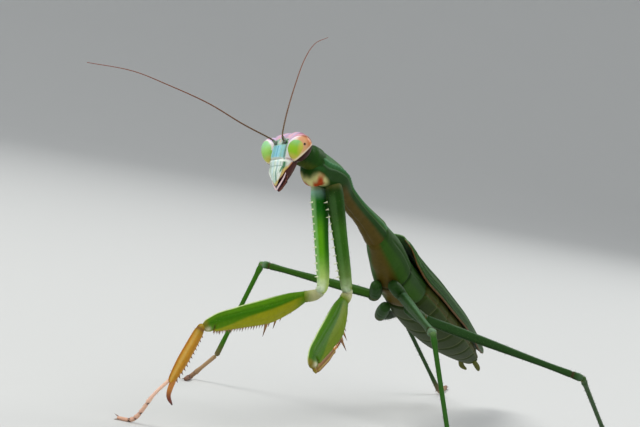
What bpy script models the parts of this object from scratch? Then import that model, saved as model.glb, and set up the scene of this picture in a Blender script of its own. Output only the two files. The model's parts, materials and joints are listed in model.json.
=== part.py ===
"""A praying mantis, life size, as one still model of named closed solids.

The animal faces -Y with its left side towards +X. Lengths below are in
millimetres and turned into metres by MM. The trunk and the limbs hang on a
skeleton of named lengths and directions, and every body is a UV sphere whose
rings are moved onto the sections of that trunk or limb.
"""

import math
from collections import namedtuple

import bmesh
import bpy
from mathutils import Vector

MM = 0.001
GAP = 0.14  # clear space left between touching bodies
SIDES = (("left", 1), ("right", -1))

# Directions: azimuth is turned from +X towards +Y, elevation is above the floor.
PRONOTUM_LENGTH = 26.0  # from the waist to its front edge
PRONOTUM_REAR = 4.6  # its solid starts this far ahead of the waist
PRONOTUM_AZIMUTH = -96.0
PRONOTUM_ELEVATION = 22.1
PRONOTUM_ROLL = 10.0
WAIST_HEIGHT = 27.4  # the back's height where the pronotum ends
HIND_BODY_AZIMUTH = 90.2
HIND_BODY_ELEVATION = -20.1
HIND_BODY_ROLL = -7.0
PTEROTHORAX_START = -4.4  # the winged thorax reaches under the pronotum
PTEROTHORAX_LENGTH = 11.0
ABDOMEN_LENGTH = 39.0
WING_START = 2.8
WING_LENGTH = 50.0
WING_THICKNESS = 0.5
WING_CLEARANCE = 0.25

HEAD_CENTRE = (-4.2, -28.0, 35.7)  # midway between the eyes
HEAD_AZIMUTH = -111.1
HEAD_ELEVATION = 14.3
HEAD_ROLL = 14.4
EYE_SPREAD = 2.2
EYE_RADII = (1.42, 1.4, 1.78)  # sideways, front to back, up and down
EYE_LEAN = math.radians(14)  # the top of each eye leans outwards
EYE_TAPER = 0.12  # the foot of each eye is narrower than its top
ANTENNA_RADIUS = 0.26

FORE_COXA_LENGTH = 12.9
FORE_FEMUR_LENGTH = 17.9
FORE_TIBIA_LENGTH = 7.6
MID_FEMUR_LENGTH = 17.9
MID_TIBIA_LENGTH = 16.4
HIND_FEMUR_LENGTH = 25.5
HIND_TIBIA_LENGTH = 24.0

GREEN = (0.055, 0.19, 0.025)
DEEP_GREEN = (0.02, 0.085, 0.018)
PALE_GREEN = (0.42, 0.55, 0.3)
OLIVE = (0.07, 0.1, 0.025)
GOLD = (0.5, 0.3, 0.05)
PEACH = (0.55, 0.27, 0.14)
LIME = (0.4, 0.6, 0.08)
REDDISH = (0.25, 0.07, 0.03)

Stretch = namedtuple("Stretch", "length azimuth elevation")
Frame = namedtuple("Frame", "origin forward left up")


def direction(azimuth, elevation):
    """A unit vector from two angles in degrees."""
    turn = math.radians(azimuth)
    rise = math.radians(elevation)
    flat = math.cos(rise)
    return Vector((flat * math.cos(turn), flat * math.sin(turn), math.sin(rise)))


def body_frame(origin, azimuth, elevation, roll):
    """Axes of a body that looks along a direction, with its left side raised by roll."""
    forward = direction(azimuth, elevation)
    level = Vector((0, 0, 1)).cross(forward).normalized()
    upright = forward.cross(level)
    tilt = math.radians(roll)
    left = level * math.cos(tilt) + upright * math.sin(tilt)
    up = upright * math.cos(tilt) - level * math.sin(tilt)
    return Frame(Vector(origin), forward, left, up)


def place(frame, ahead, left, up):
    """A point given by its distances along a frame's axes."""
    return frame.origin + frame.forward * ahead + frame.left * left + frame.up * up


PROTHORAX = body_frame((0, 0, WAIST_HEIGHT), PRONOTUM_AZIMUTH, PRONOTUM_ELEVATION, PRONOTUM_ROLL)
HIND_BODY = body_frame(
    (0, 0, WAIST_HEIGHT), HIND_BODY_AZIMUTH, HIND_BODY_ELEVATION, HIND_BODY_ROLL
)
HEAD = body_frame(HEAD_CENTRE, HEAD_AZIMUTH, HEAD_ELEVATION, HEAD_ROLL)


def profile(points, t):
    """A smooth curve through (place, value) pairs, without overshoot."""
    if t <= points[0][0]:
        return points[0][1]
    for (t0, v0), (t1, v1) in zip(points, points[1:]):
        if t <= t1:
            blend = (t - t0) / (t1 - t0)
            return v0 + (v1 - v0) * blend * blend * (3 - 2 * blend)
    return points[-1][1]


def rounded(distance, radius):
    """How far a section has opened at a distance from a rounded end, from 0 to 1."""
    if distance >= radius:
        return 1.0
    return math.sqrt(max(0.0, 1 - (1 - distance / radius) ** 2))


def crowded(step):
    """Spreads even steps so that they crowd towards both ends."""
    return (1 - math.cos(math.pi * step)) / 2


# ---------------------------------------------------------------- making objects


def empty_scene():
    """Removes the objects of the open scene."""
    for thing in list(bpy.data.objects):
        bpy.data.objects.remove(thing, do_unlink=True)


def new_collection(name):
    """A collection linked to the scene."""
    collection = bpy.data.collections.new(name)
    bpy.context.scene.collection.children.link(collection)
    return collection


def finish(name, colour, roughness=0.45, metallic=0.0):
    """A Principled material with plain values, made once for each name."""
    found = bpy.data.materials.get(name)
    if found:
        return found
    material = bpy.data.materials.new(name)
    material.use_nodes = True
    shader = material.node_tree.nodes["Principled BSDF"]
    shader.inputs["Base Color"].default_value = (*colour, 1)
    shader.inputs["Roughness"].default_value = roughness
    shader.inputs["Metallic"].default_value = metallic
    material.diffuse_color = (*colour, 1)
    return material


empty_scene()
PARTS = new_collection("praying_mantis")
CUTTERS = new_collection("cutters")
ROOT = bpy.data.objects.new("mantis_root", None)
PARTS.objects.link(ROOT)


def keep(name, shape, material):
    """Turns a bmesh in millimetres into a part that hangs on the root."""
    shape.normal_update()
    bmesh.ops.recalc_face_normals(shape, faces=shape.faces)
    bmesh.ops.scale(shape, vec=(MM, MM, MM), verts=shape.verts)
    mesh = bpy.data.meshes.new(name)
    shape.to_mesh(mesh)
    shape.free()
    mesh.shade_smooth()
    thing = bpy.data.objects.new(name, mesh)
    thing.data.materials.append(material)
    thing.parent = ROOT
    PARTS.objects.link(thing)
    return thing


def hide_as_cutter(thing):
    """Moves an object to the cutters, out of sight."""
    for collection in list(thing.users_collection):
        collection.objects.unlink(thing)
    CUTTERS.objects.link(thing)
    thing.hide_render = True
    thing.display_type = "WIRE"


def boolean(thing, tool, operation):
    """Adds an exact Boolean that joins or cuts with another object."""
    modifier = thing.modifiers.new(operation.lower() + "_" + tool.name, "BOOLEAN")
    modifier.operation = operation
    modifier.solver = "EXACT"
    modifier.object = tool
    hide_as_cutter(tool)


def shaped_sphere(rings, sides, point_at):
    """A UV sphere whose vertices move to point_at(t, angle), t from 0 to 1 between its poles."""
    shape = bmesh.new()
    bmesh.ops.create_uvsphere(shape, u_segments=sides, v_segments=rings, radius=1)
    for vertex in shape.verts:
        polar = math.acos(max(-1.0, min(1.0, vertex.co.z)))
        t = 1 - round(polar / math.pi * rings) / rings
        vertex.co = point_at(t, math.atan2(vertex.co.y, vertex.co.x))
    return shape


# ---------------------------------------------------------------- limbs


class Route:
    """A smooth line through a few points, with a side and an up direction along it."""

    def __init__(self, points, up):
        self.points = [Vector(point) for point in points]
        self.up = Vector(up)
        self.steps = [(b - a).length for a, b in zip(self.points, self.points[1:])]
        self.length = sum(self.steps)

    def at(self, t):
        """The centre, the left and the up direction at t from 0 to 1."""
        wanted = t * self.length
        index = 0
        while index < len(self.steps) - 1 and wanted > self.steps[index]:
            wanted -= self.steps[index]
            index += 1
        local = wanted / self.steps[index]
        ends = self.points
        start, end = ends[index], ends[index + 1]
        before = ends[index - 1] if index else start * 2 - end
        after = ends[index + 2] if index + 2 < len(ends) else end * 2 - start
        pull_in = (end - before) / 2
        pull_out = (after - start) / 2
        square = local * local
        cube = square * local
        centre = start * (2 * cube - 3 * square + 1) + pull_in * (cube - 2 * square + local)
        centre = centre + end * (3 * square - 2 * cube) + pull_out * (cube - square)
        along = start * (6 * square - 6 * local) + pull_in * (3 * square - 4 * local + 1)
        along = along + end * (6 * local - 6 * square) + pull_out * (3 * square - 2 * local)
        along.normalize()
        left = self.up.cross(along).normalized()
        return centre, left, along.cross(left)


def limb(name, route, heights, material, flatness=1.0, sides=10, rings=12, blunt=0.7, lift=None):
    """A closed limb along a route.

    heights are (t, radius) pairs for its up and down size, flatness is its width over
    its height, blunt is the rounding of its ends over its radius, and lift raises its
    middle line by (t, offset) pairs.
    """

    def point_at(t, angle):
        along = crowded(t)
        centre, left, up = route.at(along)
        radius = profile(heights, along)
        from_end = min(along, 1 - along) * route.length
        opened = rounded(from_end, radius * blunt)
        rise = profile(lift, along) if lift else 0.0
        across = left * (radius * flatness * opened * math.cos(angle))
        return centre + across + up * (radius * opened * math.sin(angle) + rise)

    return keep(name, shaped_sphere(rings, sides, point_at), material)


def on_floor(name, route, heights, material, sides=7, rings=12, flatness=1.0):
    """A limb whose underside is pressed flat where it meets the floor."""
    thing = limb(name, route, heights, material, flatness, sides, rings, blunt=0.9)
    for vertex in thing.data.vertices:
        vertex.co.z = max(vertex.co.z, 0.0)
    return thing


def thorns(name, places):
    """One mesh of many small cones, from (foot, tip, radius) triples."""
    shape = bmesh.new()
    for foot, tip, radius in places:
        axis = tip - foot
        turn = axis.to_track_quat("Z", "Y").to_matrix().to_4x4()
        turn.translation = (foot + tip) / 2
        bmesh.ops.create_cone(
            shape,
            cap_ends=True,
            segments=4,
            radius1=radius,
            radius2=radius * 0.12,
            depth=axis.length,
            matrix=turn,
        )
    return keep(name, shape, finish("spine", REDDISH))


# ---------------------------------------------------------------- the head


HEAD_TOP = 2.35
HEAD_FOOT = -3.2
MOUTH_TIP = -5.5
FACE_WIDTHS = ((-3.2, 1.2), (-2.4, 1.5), (-1.2, 1.85), (0.2, 2.35), (1.4, 2.45), (2.35, 1.9))
FACE_FRONTS = ((-3.2, 1.3), (-1.6, 1.5), (0.0, 1.35), (1.4, 0.75), (2.35, -0.25))
FACE_BACKS = ((-3.2, -0.55), (-1.0, -1.25), (0.8, -1.6), (2.35, -0.85))


def make_head():
    """The head capsule, with a socket cut for each eye."""
    height = HEAD_TOP - HEAD_FOOT

    def point_at(t, angle):
        level = crowded(t)
        up = HEAD_FOOT + height * level
        opened = min(rounded(level * height, 0.5), rounded((1 - level) * height, 0.45))
        front = profile(FACE_FRONTS, up)
        back = profile(FACE_BACKS, up)
        middle = (front + back) / 2
        width = profile(FACE_WIDTHS, up) * opened
        depth = (front - back) / 2 * opened
        # a bowed brow: the middle of the face stands forward of its sides
        return place(HEAD, middle + depth * math.sin(angle), width * math.cos(angle), up)

    head = keep("head", shaped_sphere(14, 18, point_at), finish("head_green", PALE_GREEN))
    for side, sign in SIDES:
        eye_body("eye_" + side, sign, 0.0)
        socket = eye_body("socket_" + side, sign, GAP)
        boolean(head, socket, "DIFFERENCE")


def eye_body(name, sign, swell):
    """One eye: an egg that stands on its narrow end and leans out at the top."""
    wide, deep, tall = (radius + swell for radius in EYE_RADII)
    lean = EYE_LEAN * sign

    def point_at(t, angle):
        polar = math.pi * (1 - t)
        ring = math.sin(polar)
        narrow = 1 + EYE_TAPER * math.cos(polar)
        across = wide * ring * math.cos(angle) * narrow
        height = tall * math.cos(polar)
        out = across * math.cos(lean) + height * math.sin(lean)
        up = height * math.cos(lean) - across * math.sin(lean)
        ahead = deep * ring * math.sin(angle) * narrow
        return place(HEAD, ahead, sign * EYE_SPREAD + out, up)

    return keep(name, shaped_sphere(10, 12, point_at), finish("eye_green", LIME, 0.15))


def make_mouthparts():
    """The labrum and jaws, a wedge that closes the face below."""
    top = HEAD_FOOT - GAP

    def point_at(t, angle):
        level = crowded(t)
        up = MOUTH_TIP + (top - MOUTH_TIP) * level
        opened = min(rounded(level * 2.2, 0.5), rounded((1 - level) * 2.2, 0.25))
        width = (0.3 + 0.85 * level) * opened
        depth = (0.34 + 0.5 * level) * opened
        ahead = 0.5 - 0.05 * level
        return place(HEAD, ahead + depth * math.sin(angle), width * math.cos(angle), up)

    keep("mouthparts", shaped_sphere(10, 12, point_at), finish("mouth_cream", PALE_GREEN))


# An antenna leaves its socket beside the brow, given ahead, to the left and up in the head.
ANTENNA_SOCKET = (1.45, 0.72, 0.5)
ANTENNA_SCAPES = {"right": (2.1, -0.85, 0.75), "left": (1.85, 0.74, 1.0)}
# From there it runs through these offsets from the midpoint of the eyes.
ANTENNA_ROUTES = {
    "right": ((-4.5, -4.1, 2.2), (-8.6, -6.0, 3.9), (-13.2, -8.3, 5.2)),
    "left": ((-1.4, 1.2, 4.1), (-3.3, 6.1, 7.8), (-5.3, 11.9, 11.8)),
}
ANTENNA_TIPS = {
    "right": ((-17.3, -10.6, 6.1), (-21.9, -13.5, 6.1)),
    "left": ((-6.4, 16.6, 14.4), (-7.1, 22.0, 15.9)),
}


def make_antenna(side, sign):
    """A thread-like antenna as a bevelled curve made into a mesh."""
    curve = bpy.data.curves.new("antenna_" + side, "CURVE")
    curve.dimensions = "3D"
    curve.bevel_depth = ANTENNA_RADIUS * MM
    curve.bevel_resolution = 1
    curve.use_fill_caps = True
    spline = curve.splines.new("POLY")
    ahead, left, up = ANTENNA_SOCKET
    points = [place(HEAD, ahead, left * sign, up), place(HEAD, *ANTENNA_SCAPES[side])]
    points += [HEAD.origin + Vector(p) for p in ANTENNA_ROUTES[side] + ANTENNA_TIPS[side]]
    route = Route(points, (0, 0, 1))
    steps = 18
    spline.points.add(steps)
    for index in range(steps + 1):
        centre = route.at(index / steps)[0] * MM
        spline.points[index].co = (*centre, 1)
    thing = bpy.data.objects.new("antenna_" + side, curve)
    thing.data.materials.append(finish("antenna_brown", REDDISH))
    thing.parent = ROOT
    PARTS.objects.link(thing)


def make_neck():
    """The short soft neck between head and pronotum."""
    back_of_head = place(HEAD, -2.12, 0, 0.35)
    front_of_trunk = place(PROTHORAX, PRONOTUM_LENGTH + 0.64, 0, -1.2)
    route = Route((front_of_trunk, back_of_head), PROTHORAX.up)
    limb("neck", route, ((0, 0.85), (0.5, 0.95), (1, 0.9)), finish("neck_green", GREEN), blunt=0.4,
         rings=8)


# ---------------------------------------------------------------- the trunk


PRONOTUM_WIDTHS = ((0, 1.7), (0.3, 1.25), (0.52, 1.4), (0.72, 2.3), (0.9, 1.9), (1, 1.4))
PRONOTUM_HEIGHTS = ((0, 4.1), (0.28, 2.8), (0.55, 2.7), (0.74, 3.4), (0.9, 4.3), (1, 3.3))
PRONOTUM_SAG = ((0, 0.05), (0.35, 0.45), (0.6, 0.3), (0.75, 0.0), (1, 0.15))


def make_prothorax():
    """The long pronotum with its widening over the fore coxae and a low keel."""

    def point_at(t, angle):
        along = crowded(t)
        width = profile(PRONOTUM_WIDTHS, along)
        height = profile(PRONOTUM_HEIGHTS, along)
        length = PRONOTUM_LENGTH - PRONOTUM_REAR
        ahead = PRONOTUM_REAR + length * along
        ends = min(along, 1 - along) * length
        sag = profile(PRONOTUM_SAG, along)
        opened = rounded(ends, 0.9)
        keel = 0.14 * math.exp(-(((angle - math.pi / 2) / 0.35) ** 2))
        across = width * math.cos(angle)
        rise = height / 2 * math.sin(angle) + keel
        return place(PROTHORAX, ahead, across * opened, rise * opened - height / 2 - sag)

    keep("prothorax", shaped_sphere(18, 16, point_at), finish("trunk_green", DEEP_GREEN))


TRUNK_WIDTHS = ((-4.4, 1.8), (3, 2.7), (9, 3.1), (18, 3.8), (28, 3.9), (38, 3.1), (50, 1.2))
TRUNK_HEIGHTS = ((-4.4, 4.5), (1, 5.3), (8, 5.6), (20, 5.9), (31, 5.2), (41, 3.7), (50, 1.9))
BACK_DEPTH = ((-4.4, 0.25), (0, 0.35), (6, 1.6), (50, 1.6))  # the back under the folded wings


def trunk_point(back, angle, opened=1.0, outward=0.0):
    """A point round the hind body, a distance behind the waist and outside its skin."""
    height = profile(TRUNK_HEIGHTS, back)
    middle = -profile(BACK_DEPTH, back) - height / 2
    across = (profile(TRUNK_WIDTHS, back) * opened + outward) * math.cos(angle)
    rise = (height / 2 * opened + outward) * math.sin(angle)
    # forward in this frame is towards the tail, so the animal's left is to its right
    return place(HIND_BODY, back, -across, middle + rise)


def trunk_length(name, start, end, material, rings=10, tail=0.7):
    """One length of the hind body between two distances behind the waist."""

    def point_at(t, angle):
        along = crowded(t)
        back = start + (end - start) * along
        ring = 0.05 * math.sin((back - start) / (end - start) * 6 * math.pi) ** 2
        opened = min(rounded(back - start, 0.7), rounded(end - back, tail))
        waisted = 1 - ring if start > PTEROTHORAX_LENGTH else 1
        return trunk_point(back, angle, opened * waisted)

    keep(name, shaped_sphere(rings, 16, point_at), material)


def make_hind_body():
    """The winged part of the thorax and three lengths of the abdomen."""
    trunk_length("pterothorax", PTEROTHORAX_START, PTEROTHORAX_LENGTH, finish("trunk_green", DEEP_GREEN))
    olive = finish("abdomen_olive", OLIVE)
    third = ABDOMEN_LENGTH / 3
    names = ("abdomen_front", "abdomen_middle", "abdomen_tip")
    for index, name in enumerate(names):
        start = PTEROTHORAX_LENGTH + third * index + GAP
        tail = 2.0 if index == 2 else 0.7
        trunk_length(name, start, start + third - GAP, olive, rings=10, tail=tail)
    end = PTEROTHORAX_LENGTH + ABDOMEN_LENGTH
    for side, sign in SIDES:
        root = trunk_point(end - 2.4, -0.7 if sign < 0 else math.pi + 0.7, outward=0.42)
        tip = root + HIND_BODY.forward * 3.8 - HIND_BODY.left * sign * 0.5
        route = Route((root, tip), HIND_BODY.up)
        limb("cercus_" + side, route, ((0, 0.3), (0.4, 0.38), (1, 0.2)), olive, sides=6, rings=6)


WING_REACHES = ((0, 0.35), (0.06, 0.8), (0.2, 1.0), (0.75, 1.0), (0.9, 0.8), (1, 0.28))
OVERLAP = 0.42  # how far past the middle each wing reaches, over its full turn
WING_TURN = math.radians(80)


def make_wing(side, sign):
    """A fore wing folded over the back; the left one lies over the right one."""
    lengthwise = 15
    crosswise = 6
    top = WING_CLEARANCE + WING_THICKNESS / 2
    shape = bmesh.new()
    bmesh.ops.create_grid(shape, x_segments=lengthwise, y_segments=crosswise, size=1)
    for vertex in shape.verts:
        along = (vertex.co.x + 1) / 2
        across = (vertex.co.y + 1) / 2
        reach = profile(WING_REACHES, along)
        inner = -OVERLAP * profile(((0, 0.1), (0.25, 1.0), (0.85, 1.0), (1, -0.1)), along)
        turn = inner + (reach - inner) * across
        outward = top
        if sign > 0:
            outward += (WING_THICKNESS + WING_CLEARANCE) * (1 - profile(((0.5, 0), (0.9, 1)), turn))
        angle = math.pi / 2 - WING_TURN * turn * sign
        vertex.co = trunk_point(WING_START + WING_LENGTH * along, angle, outward=outward)
    wing = keep("forewing_" + side, shape, finish("wing_green", DEEP_GREEN, 0.35))
    thickness = wing.modifiers.new("thickness", "SOLIDIFY")
    thickness.thickness = WING_THICKNESS * MM
    thickness.offset = 0


# ---------------------------------------------------------------- the legs


def reach(start, stretch):
    """The far end of a straight stretch."""
    return start + direction(stretch.azimuth, stretch.elevation) * stretch.length


def trimmed(start, end, off_start, off_end):
    """The two ends of a stretch, each moved inwards along it."""
    along = (end - start).normalized()
    return start + along * off_start, end - along * off_end


def bend(first, second):
    """The sine of the angle between two directions."""
    return first.normalized().cross(second.normalized()).length


TROCHANTER_REACH = 1.0
HINGE_DROP = 1.08  # how far inside the femur's line a fully folded tibia hinges
FORE_ROOTS = {"left": (20.0, 1.45, -3.35), "right": (19.3, -1.5, -3.3)}
FORE_COXAE = {"left": (15.0, -73.5), "right": (-11.2, -75.1)}
FORE_TROCHANTERS = {"left": Stretch(1.1, 135.0, -66.0), "right": Stretch(1.7, -174.3, -26.4)}
FORE_FEMURS = {"left": (-77.0, -25.0), "right": (-111.4, -16.9)}
FORE_TIBIAE = {"left": (91.5, 9.5), "right": (-127.9, -68.7)}
CLAW_HOOKS = {"left": (2.9, 0.2), "right": (2.2, 2.2)}  # along the tibia and inward
SPINES_START = 0.4  # along the femur, over its length
SPINE_SPACING = 0.045
DISCOIDAL_SPINES = ((0.21, 0.7), (0.26, 0.95), (0.34, 1.7), (0.4, 0.7))


def fold_side(along, towards):
    """The direction square to a limb in which the next one folds."""
    sideways = towards - along * towards.dot(along)
    return sideways.normalized()


def make_foreleg(side):
    """A grasping leg: coxa, trochanter, spined femur, spined tibia with its claw, tarsus."""
    green = finish("foreleg_green", GREEN, 0.35)
    gold = finish("foretibia_gold" if side == "right" else "foretibia_brown", GOLD, 0.35)
    root = place(PROTHORAX, *FORE_ROOTS[side])
    elbow = reach(root, Stretch(FORE_COXA_LENGTH, *FORE_COXAE[side]))
    coxa = (elbow - root).normalized()
    thigh = direction(*FORE_FEMURS[side])
    shin = direction(*FORE_TIBIAE[side])
    inner = fold_side(thigh, shin)

    route = Route(trimmed(root, elbow, GAP, 0.4), -thigh)
    heights = ((0, 0.95), (0.12, 1.12), (0.5, 0.9), (0.85, 0.78), (1, 0.72))
    limb("fore_coxa_" + side, route, heights, green, flatness=0.86, sides=10, rings=12)

    joint = reach(elbow, FORE_TROCHANTERS[side])
    hip = joint + thigh * TROCHANTER_REACH
    middle = (elbow + joint) / 2 + coxa * 0.2
    route = Route((elbow - thigh * 0.1, middle, hip), -inner)
    limb("fore_trochanter_" + side, route, ((0, 0.62), (0.5, 0.72), (1, 0.62)), green, sides=8,
         rings=8)

    knee = joint + thigh * FORE_FEMUR_LENGTH
    start, end = trimmed(hip, knee, GAP * 1.6, 0.62)
    route = Route((start, end), -inner)
    heights = ((0, 0.8), (0.1, 1.35), (0.36, 2.05), (0.6, 1.8), (0.88, 1.2), (1, 1.0))
    lift = ((0, 0.0), (0.35, -0.2), (0.7, 0.0), (1, 0.0))
    femur = limb("fore_femur_" + side, route, heights, green, 0.46, 10, 14, lift=lift)
    folded = max(0.0, -thigh.dot(shin))  # a folded tibia hinges on the femur's inner side
    last_spine = 0.9 - 0.4 * folded
    boolean(femur, femur_spines(side, route, heights, last_spine), "UNION")

    hinge = knee + inner * (HINGE_DROP * folded) + thigh * (0.3 * folded)
    wrist = hinge + shin * FORE_TIBIA_LENGTH
    back_up = 0.55 * bend(thigh, shin)
    lower = fold_side(shin, -thigh)
    start, end = trimmed(hinge, wrist, -back_up + GAP, 0.0)
    route = Route((start, end), -lower)
    slim = 1 - 0.35 * folded
    heights = ((0, 0.52 * slim), (0.2, 0.66 * slim), (0.6, 0.72 * slim), (0.9, 0.58 * slim), (1, 0.42))
    tibia = limb("fore_tibia_" + side, route, heights, gold, 0.5, 8, 10)
    boolean(tibia, tibia_spines(side, route, heights), "UNION")
    boolean(tibia, tibia_claw(side, wrist, shin, lower), "UNION")
    make_fore_tarsus(side, wrist, thigh, inner, shin, lower)


def femur_spines(side, route, heights, last):
    """Two rows of short spines on the femur's inner edge up to last, and longer middle spines."""
    places = []
    for index in range(1 + round((last - SPINES_START) / SPINE_SPACING)):
        t = SPINES_START + SPINE_SPACING * index
        longer = index % 3 == 0
        places.append((t, 0.75 if longer else 0.45, 0.14, -1))
        if longer:
            places.append((t + 0.015, 0.7, 0.14, 1))
    places += [(t, length, 0.17, 0.0) for t, length in DISCOIDAL_SPINES]
    return spine_row("femur_spines_" + side, route, heights, places)


def tibia_spines(side, route, heights):
    """A row of slanting spines on the tibia's inner edge."""
    rows = 8
    places = [(0.18 + 0.7 * i / (rows - 1), 0.5 + 0.25 * i / rows, 0.12, 0.0) for i in range(rows)]
    return spine_row("tibia_spines_" + side, route, heights, places)


def spine_row(name, route, heights, places):
    """Cones from (t, length, radius, side) places along the two edges of a limb's underside."""
    cones = []
    for t, length, radius, edge in places:
        centre, left, up = route.at(t)
        along = route.at(min(1.0, t + 0.05))[0] - route.at(max(0.0, t - 0.05))[0]
        along.normalize()
        depth = profile(heights, t)
        foot = centre - up * (depth * 0.62) + left * (edge * depth * 0.26)
        tip = foot - up * (depth * 0.38 + length) + left * (edge * 0.45) + along * length * 0.3
        cones.append((foot, tip, radius))
    return thorns(name, cones)


def tibia_claw(side, wrist, shin, lower):
    """The curved claw that ends the tibia."""
    start = wrist - shin * 0.9 + lower * 0.15
    along, inward = CLAW_HOOKS[side]
    middle = wrist + shin * (along * 0.6) + lower * (inward * 0.35)
    tip = wrist + shin * along + lower * inward
    route = Route((start, middle, tip), -lower)
    heights = ((0, 0.4), (0.5, 0.36), (1, 0.1))
    return limb("claw_" + side, route, heights, finish("claw_red", REDDISH), 0.7, 8, 8)


def make_fore_tarsus(side, wrist, thigh, inner, shin, lower):
    """The slender fore foot: the right one stands on the floor, the left one is folded back."""
    peach = finish("tarsus_peach", PEACH)
    outer = shin.cross(lower).normalized()
    if outer.dot(PROTHORAX.left) > 0:
        outer = -outer
    if side == "right":
        start = wrist + outer * 0.3 - lower * 0.55 - shin * 0.25
        touch = Vector(FORE_TOUCH)
        points = (start, start.lerp(touch, 0.55), touch, FORE_TIP)
        on_floor("fore_tarsus_" + side, Route(points, (1, 0, 0.3)), TARSUS_RADII, peach)
        return
    start = wrist + outer * 1.05
    crossing = start - inner * 1.4 - thigh * 1.5 + outer * 0.5
    points = (start, crossing, crossing - inner * 1.2 - thigh * 4.2 + outer * 0.2)
    limb("fore_tarsus_" + side, Route(points, lower), TARSUS_RADII, peach, sides=7, rings=12)


TARSUS_RADII = ((0, 0.3), (0.3, 0.28), (0.42, 0.4), (0.55, 0.34), (0.75, 0.42), (1, 0.34))
FORE_TOUCH = (-13.2, -37.55, 0.6)
FORE_TIP = (-15.7, -37.05, 0.22)


# Roots and hips are (behind the waist, to the left, above the back line). A foot is its
# length, the way it leaves the ankle and the way it lies on the floor.
WALKING_LEGS = {
    "mid_left": {
        "root": (2.4, 1.2, -6.9),
        "hip": (5.0, 1.9, -7.5),
        "femur": Stretch(MID_FEMUR_LENGTH, -53.5, -9.4),
        "tibia": (MID_TIBIA_LENGTH, 0.0),
        "ankle": 0.6,
        "foot": (8.0, 20.0, -15.0),
        "radius": 0.72,
    },
    "mid_right": {
        "root": (2.8, -1.2, -7.0),
        "hip": (5.6, -2.2, -7.6),
        "femur": Stretch(MID_FEMUR_LENGTH, 178.4, 2.8),
        "tibia": (MID_TIBIA_LENGTH, 150.0),
        "ankle": 4.3,
        "foot": (8.6, 178.0, -76.0),
        "radius": 0.72,
    },
    "hind_left": {
        "root": (9.4, 1.6, -7.9),
        "hip": (13.0, 3.0, -8.1),
        "femur": Stretch(HIND_FEMUR_LENGTH, 36.1, -10.8),
        "tibia": (HIND_TIBIA_LENGTH, 91.0),
        "ankle": 0.8,
        "foot": (11.0, 84.0, 70.0),
        "radius": 0.78,
    },
    "hind_right": {
        "root": (9.4, -1.6, -7.9),
        "hip": (13.0, -3.4, -8.1),
        "femur": Stretch(HIND_FEMUR_LENGTH, 104.0, -3.0),
        "tibia": (HIND_TIBIA_LENGTH, 86.0),
        "ankle": 0.8,
        "foot": (11.0, 92.0, 104.0),
        "radius": 0.78,
    },
}


def make_walking_leg(name, plan):
    """A walking leg: coxa, femur, tibia and a foot that lies on the floor."""
    pair, side = name.split("_")
    green = finish("leg_green", DEEP_GREEN, 0.4)
    radius = plan["radius"]
    back, left, up = plan["root"]
    root = place(HIND_BODY, back, -left, up)
    back, left, up = plan["hip"]
    hip = place(HIND_BODY, back, -left, up)
    knee = reach(hip, plan["femur"])
    shin_length, shin_azimuth = plan["tibia"]
    shin_fall = -math.degrees(math.asin((knee.z - plan["ankle"]) / shin_length))
    ankle = reach(knee, Stretch(shin_length, shin_azimuth, shin_fall))
    thigh = (knee - hip).normalized()
    shin = (ankle - knee).normalized()
    upwards = (0, 0, 1)

    hip_bend = bend(hip - root, thigh)
    start, end = trimmed(root, hip, GAP, radius * hip_bend + GAP * 2.4)
    heights = ((0, 0.6), (0.4, 0.85), (1, 0.6))
    limb("{}_coxa_{}".format(pair, side), Route((start, end), thigh), heights, green, sides=8, rings=7)

    knee_bend = bend(thigh, shin)
    start, end = trimmed(hip, knee, -radius * hip_bend * 0.4, 0.5 * knee_bend + GAP)
    heights = ((0, radius), (0.2, radius * 0.95), (0.8, radius * 0.66), (0.96, radius * 0.85),
               (1, radius * 0.8))
    limb("{}_femur_{}".format(pair, side), Route((start, end), upwards), heights, green, rings=10,
         sides=8)

    start, end = trimmed(knee, ankle, -0.5 * knee_bend, 0.35)
    heights = ((0, 0.52), (0.1, 0.5), (0.7, 0.42), (1, 0.44))
    limb("{}_tibia_{}".format(pair, side), Route((start, end), thigh), heights, green, rings=10,
         sides=8)

    foot_length, leaving, lying = plan["foot"]
    outwards = direction(leaving, 0)
    touch = ankle + outwards * (plan["ankle"] * 0.64 + 0.8)
    touch.z = 0.42
    tip = touch + direction(lying, 0) * (foot_length - (touch - ankle).length)
    tip.z = 0.3
    start = ankle + outwards * 0.6
    start.z = max(plan["ankle"] - 0.2, 0.45)
    route = Route((start, touch, (touch + tip) / 2, tip), upwards)
    on_floor("{}_tarsus_{}".format(pair, side), route, TARSUS_RADII, finish("tarsus_peach", PEACH))


def centre_on_floor():
    """Moves the root so that the whole model stands centred on the origin."""
    bpy.context.view_layer.update()
    graph = bpy.context.evaluated_depsgraph_get()
    corners = []
    for thing in PARTS.objects:
        if thing.type == "EMPTY":
            continue
        shown = thing.evaluated_get(graph)
        mesh = shown.to_mesh()
        corners += [shown.matrix_world @ vertex.co for vertex in mesh.vertices]
        shown.to_mesh_clear()
    low = [min(corner[axis] for corner in corners) for axis in range(3)]
    high = [max(corner[axis] for corner in corners) for axis in range(3)]
    ROOT.location = (-(low[0] + high[0]) / 2, -(low[1] + high[1]) / 2, -low[2])
    bpy.context.view_layer.update()


def main():
    """Builds every part of the mantis."""
    make_head()
    make_mouthparts()
    make_neck()
    make_prothorax()
    make_hind_body()
    for side, sign in SIDES:
        make_antenna(side, sign)
        make_wing(side, sign)
        make_foreleg(side)
    for name, plan in WALKING_LEGS.items():
        make_walking_leg(name, plan)
    centre_on_floor()


main()
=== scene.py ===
"""The dressed praying mantis: every solid of the frame gets its fine surface and its finish.

Lengths are in millimetres until a mesh is made. The skeleton below repeats the named values
of the solids, so each piece lies where its solid lies.
"""

import json
import logging
import math
from dataclasses import dataclass, field
from enum import Enum
from typing import Callable, Sequence

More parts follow.
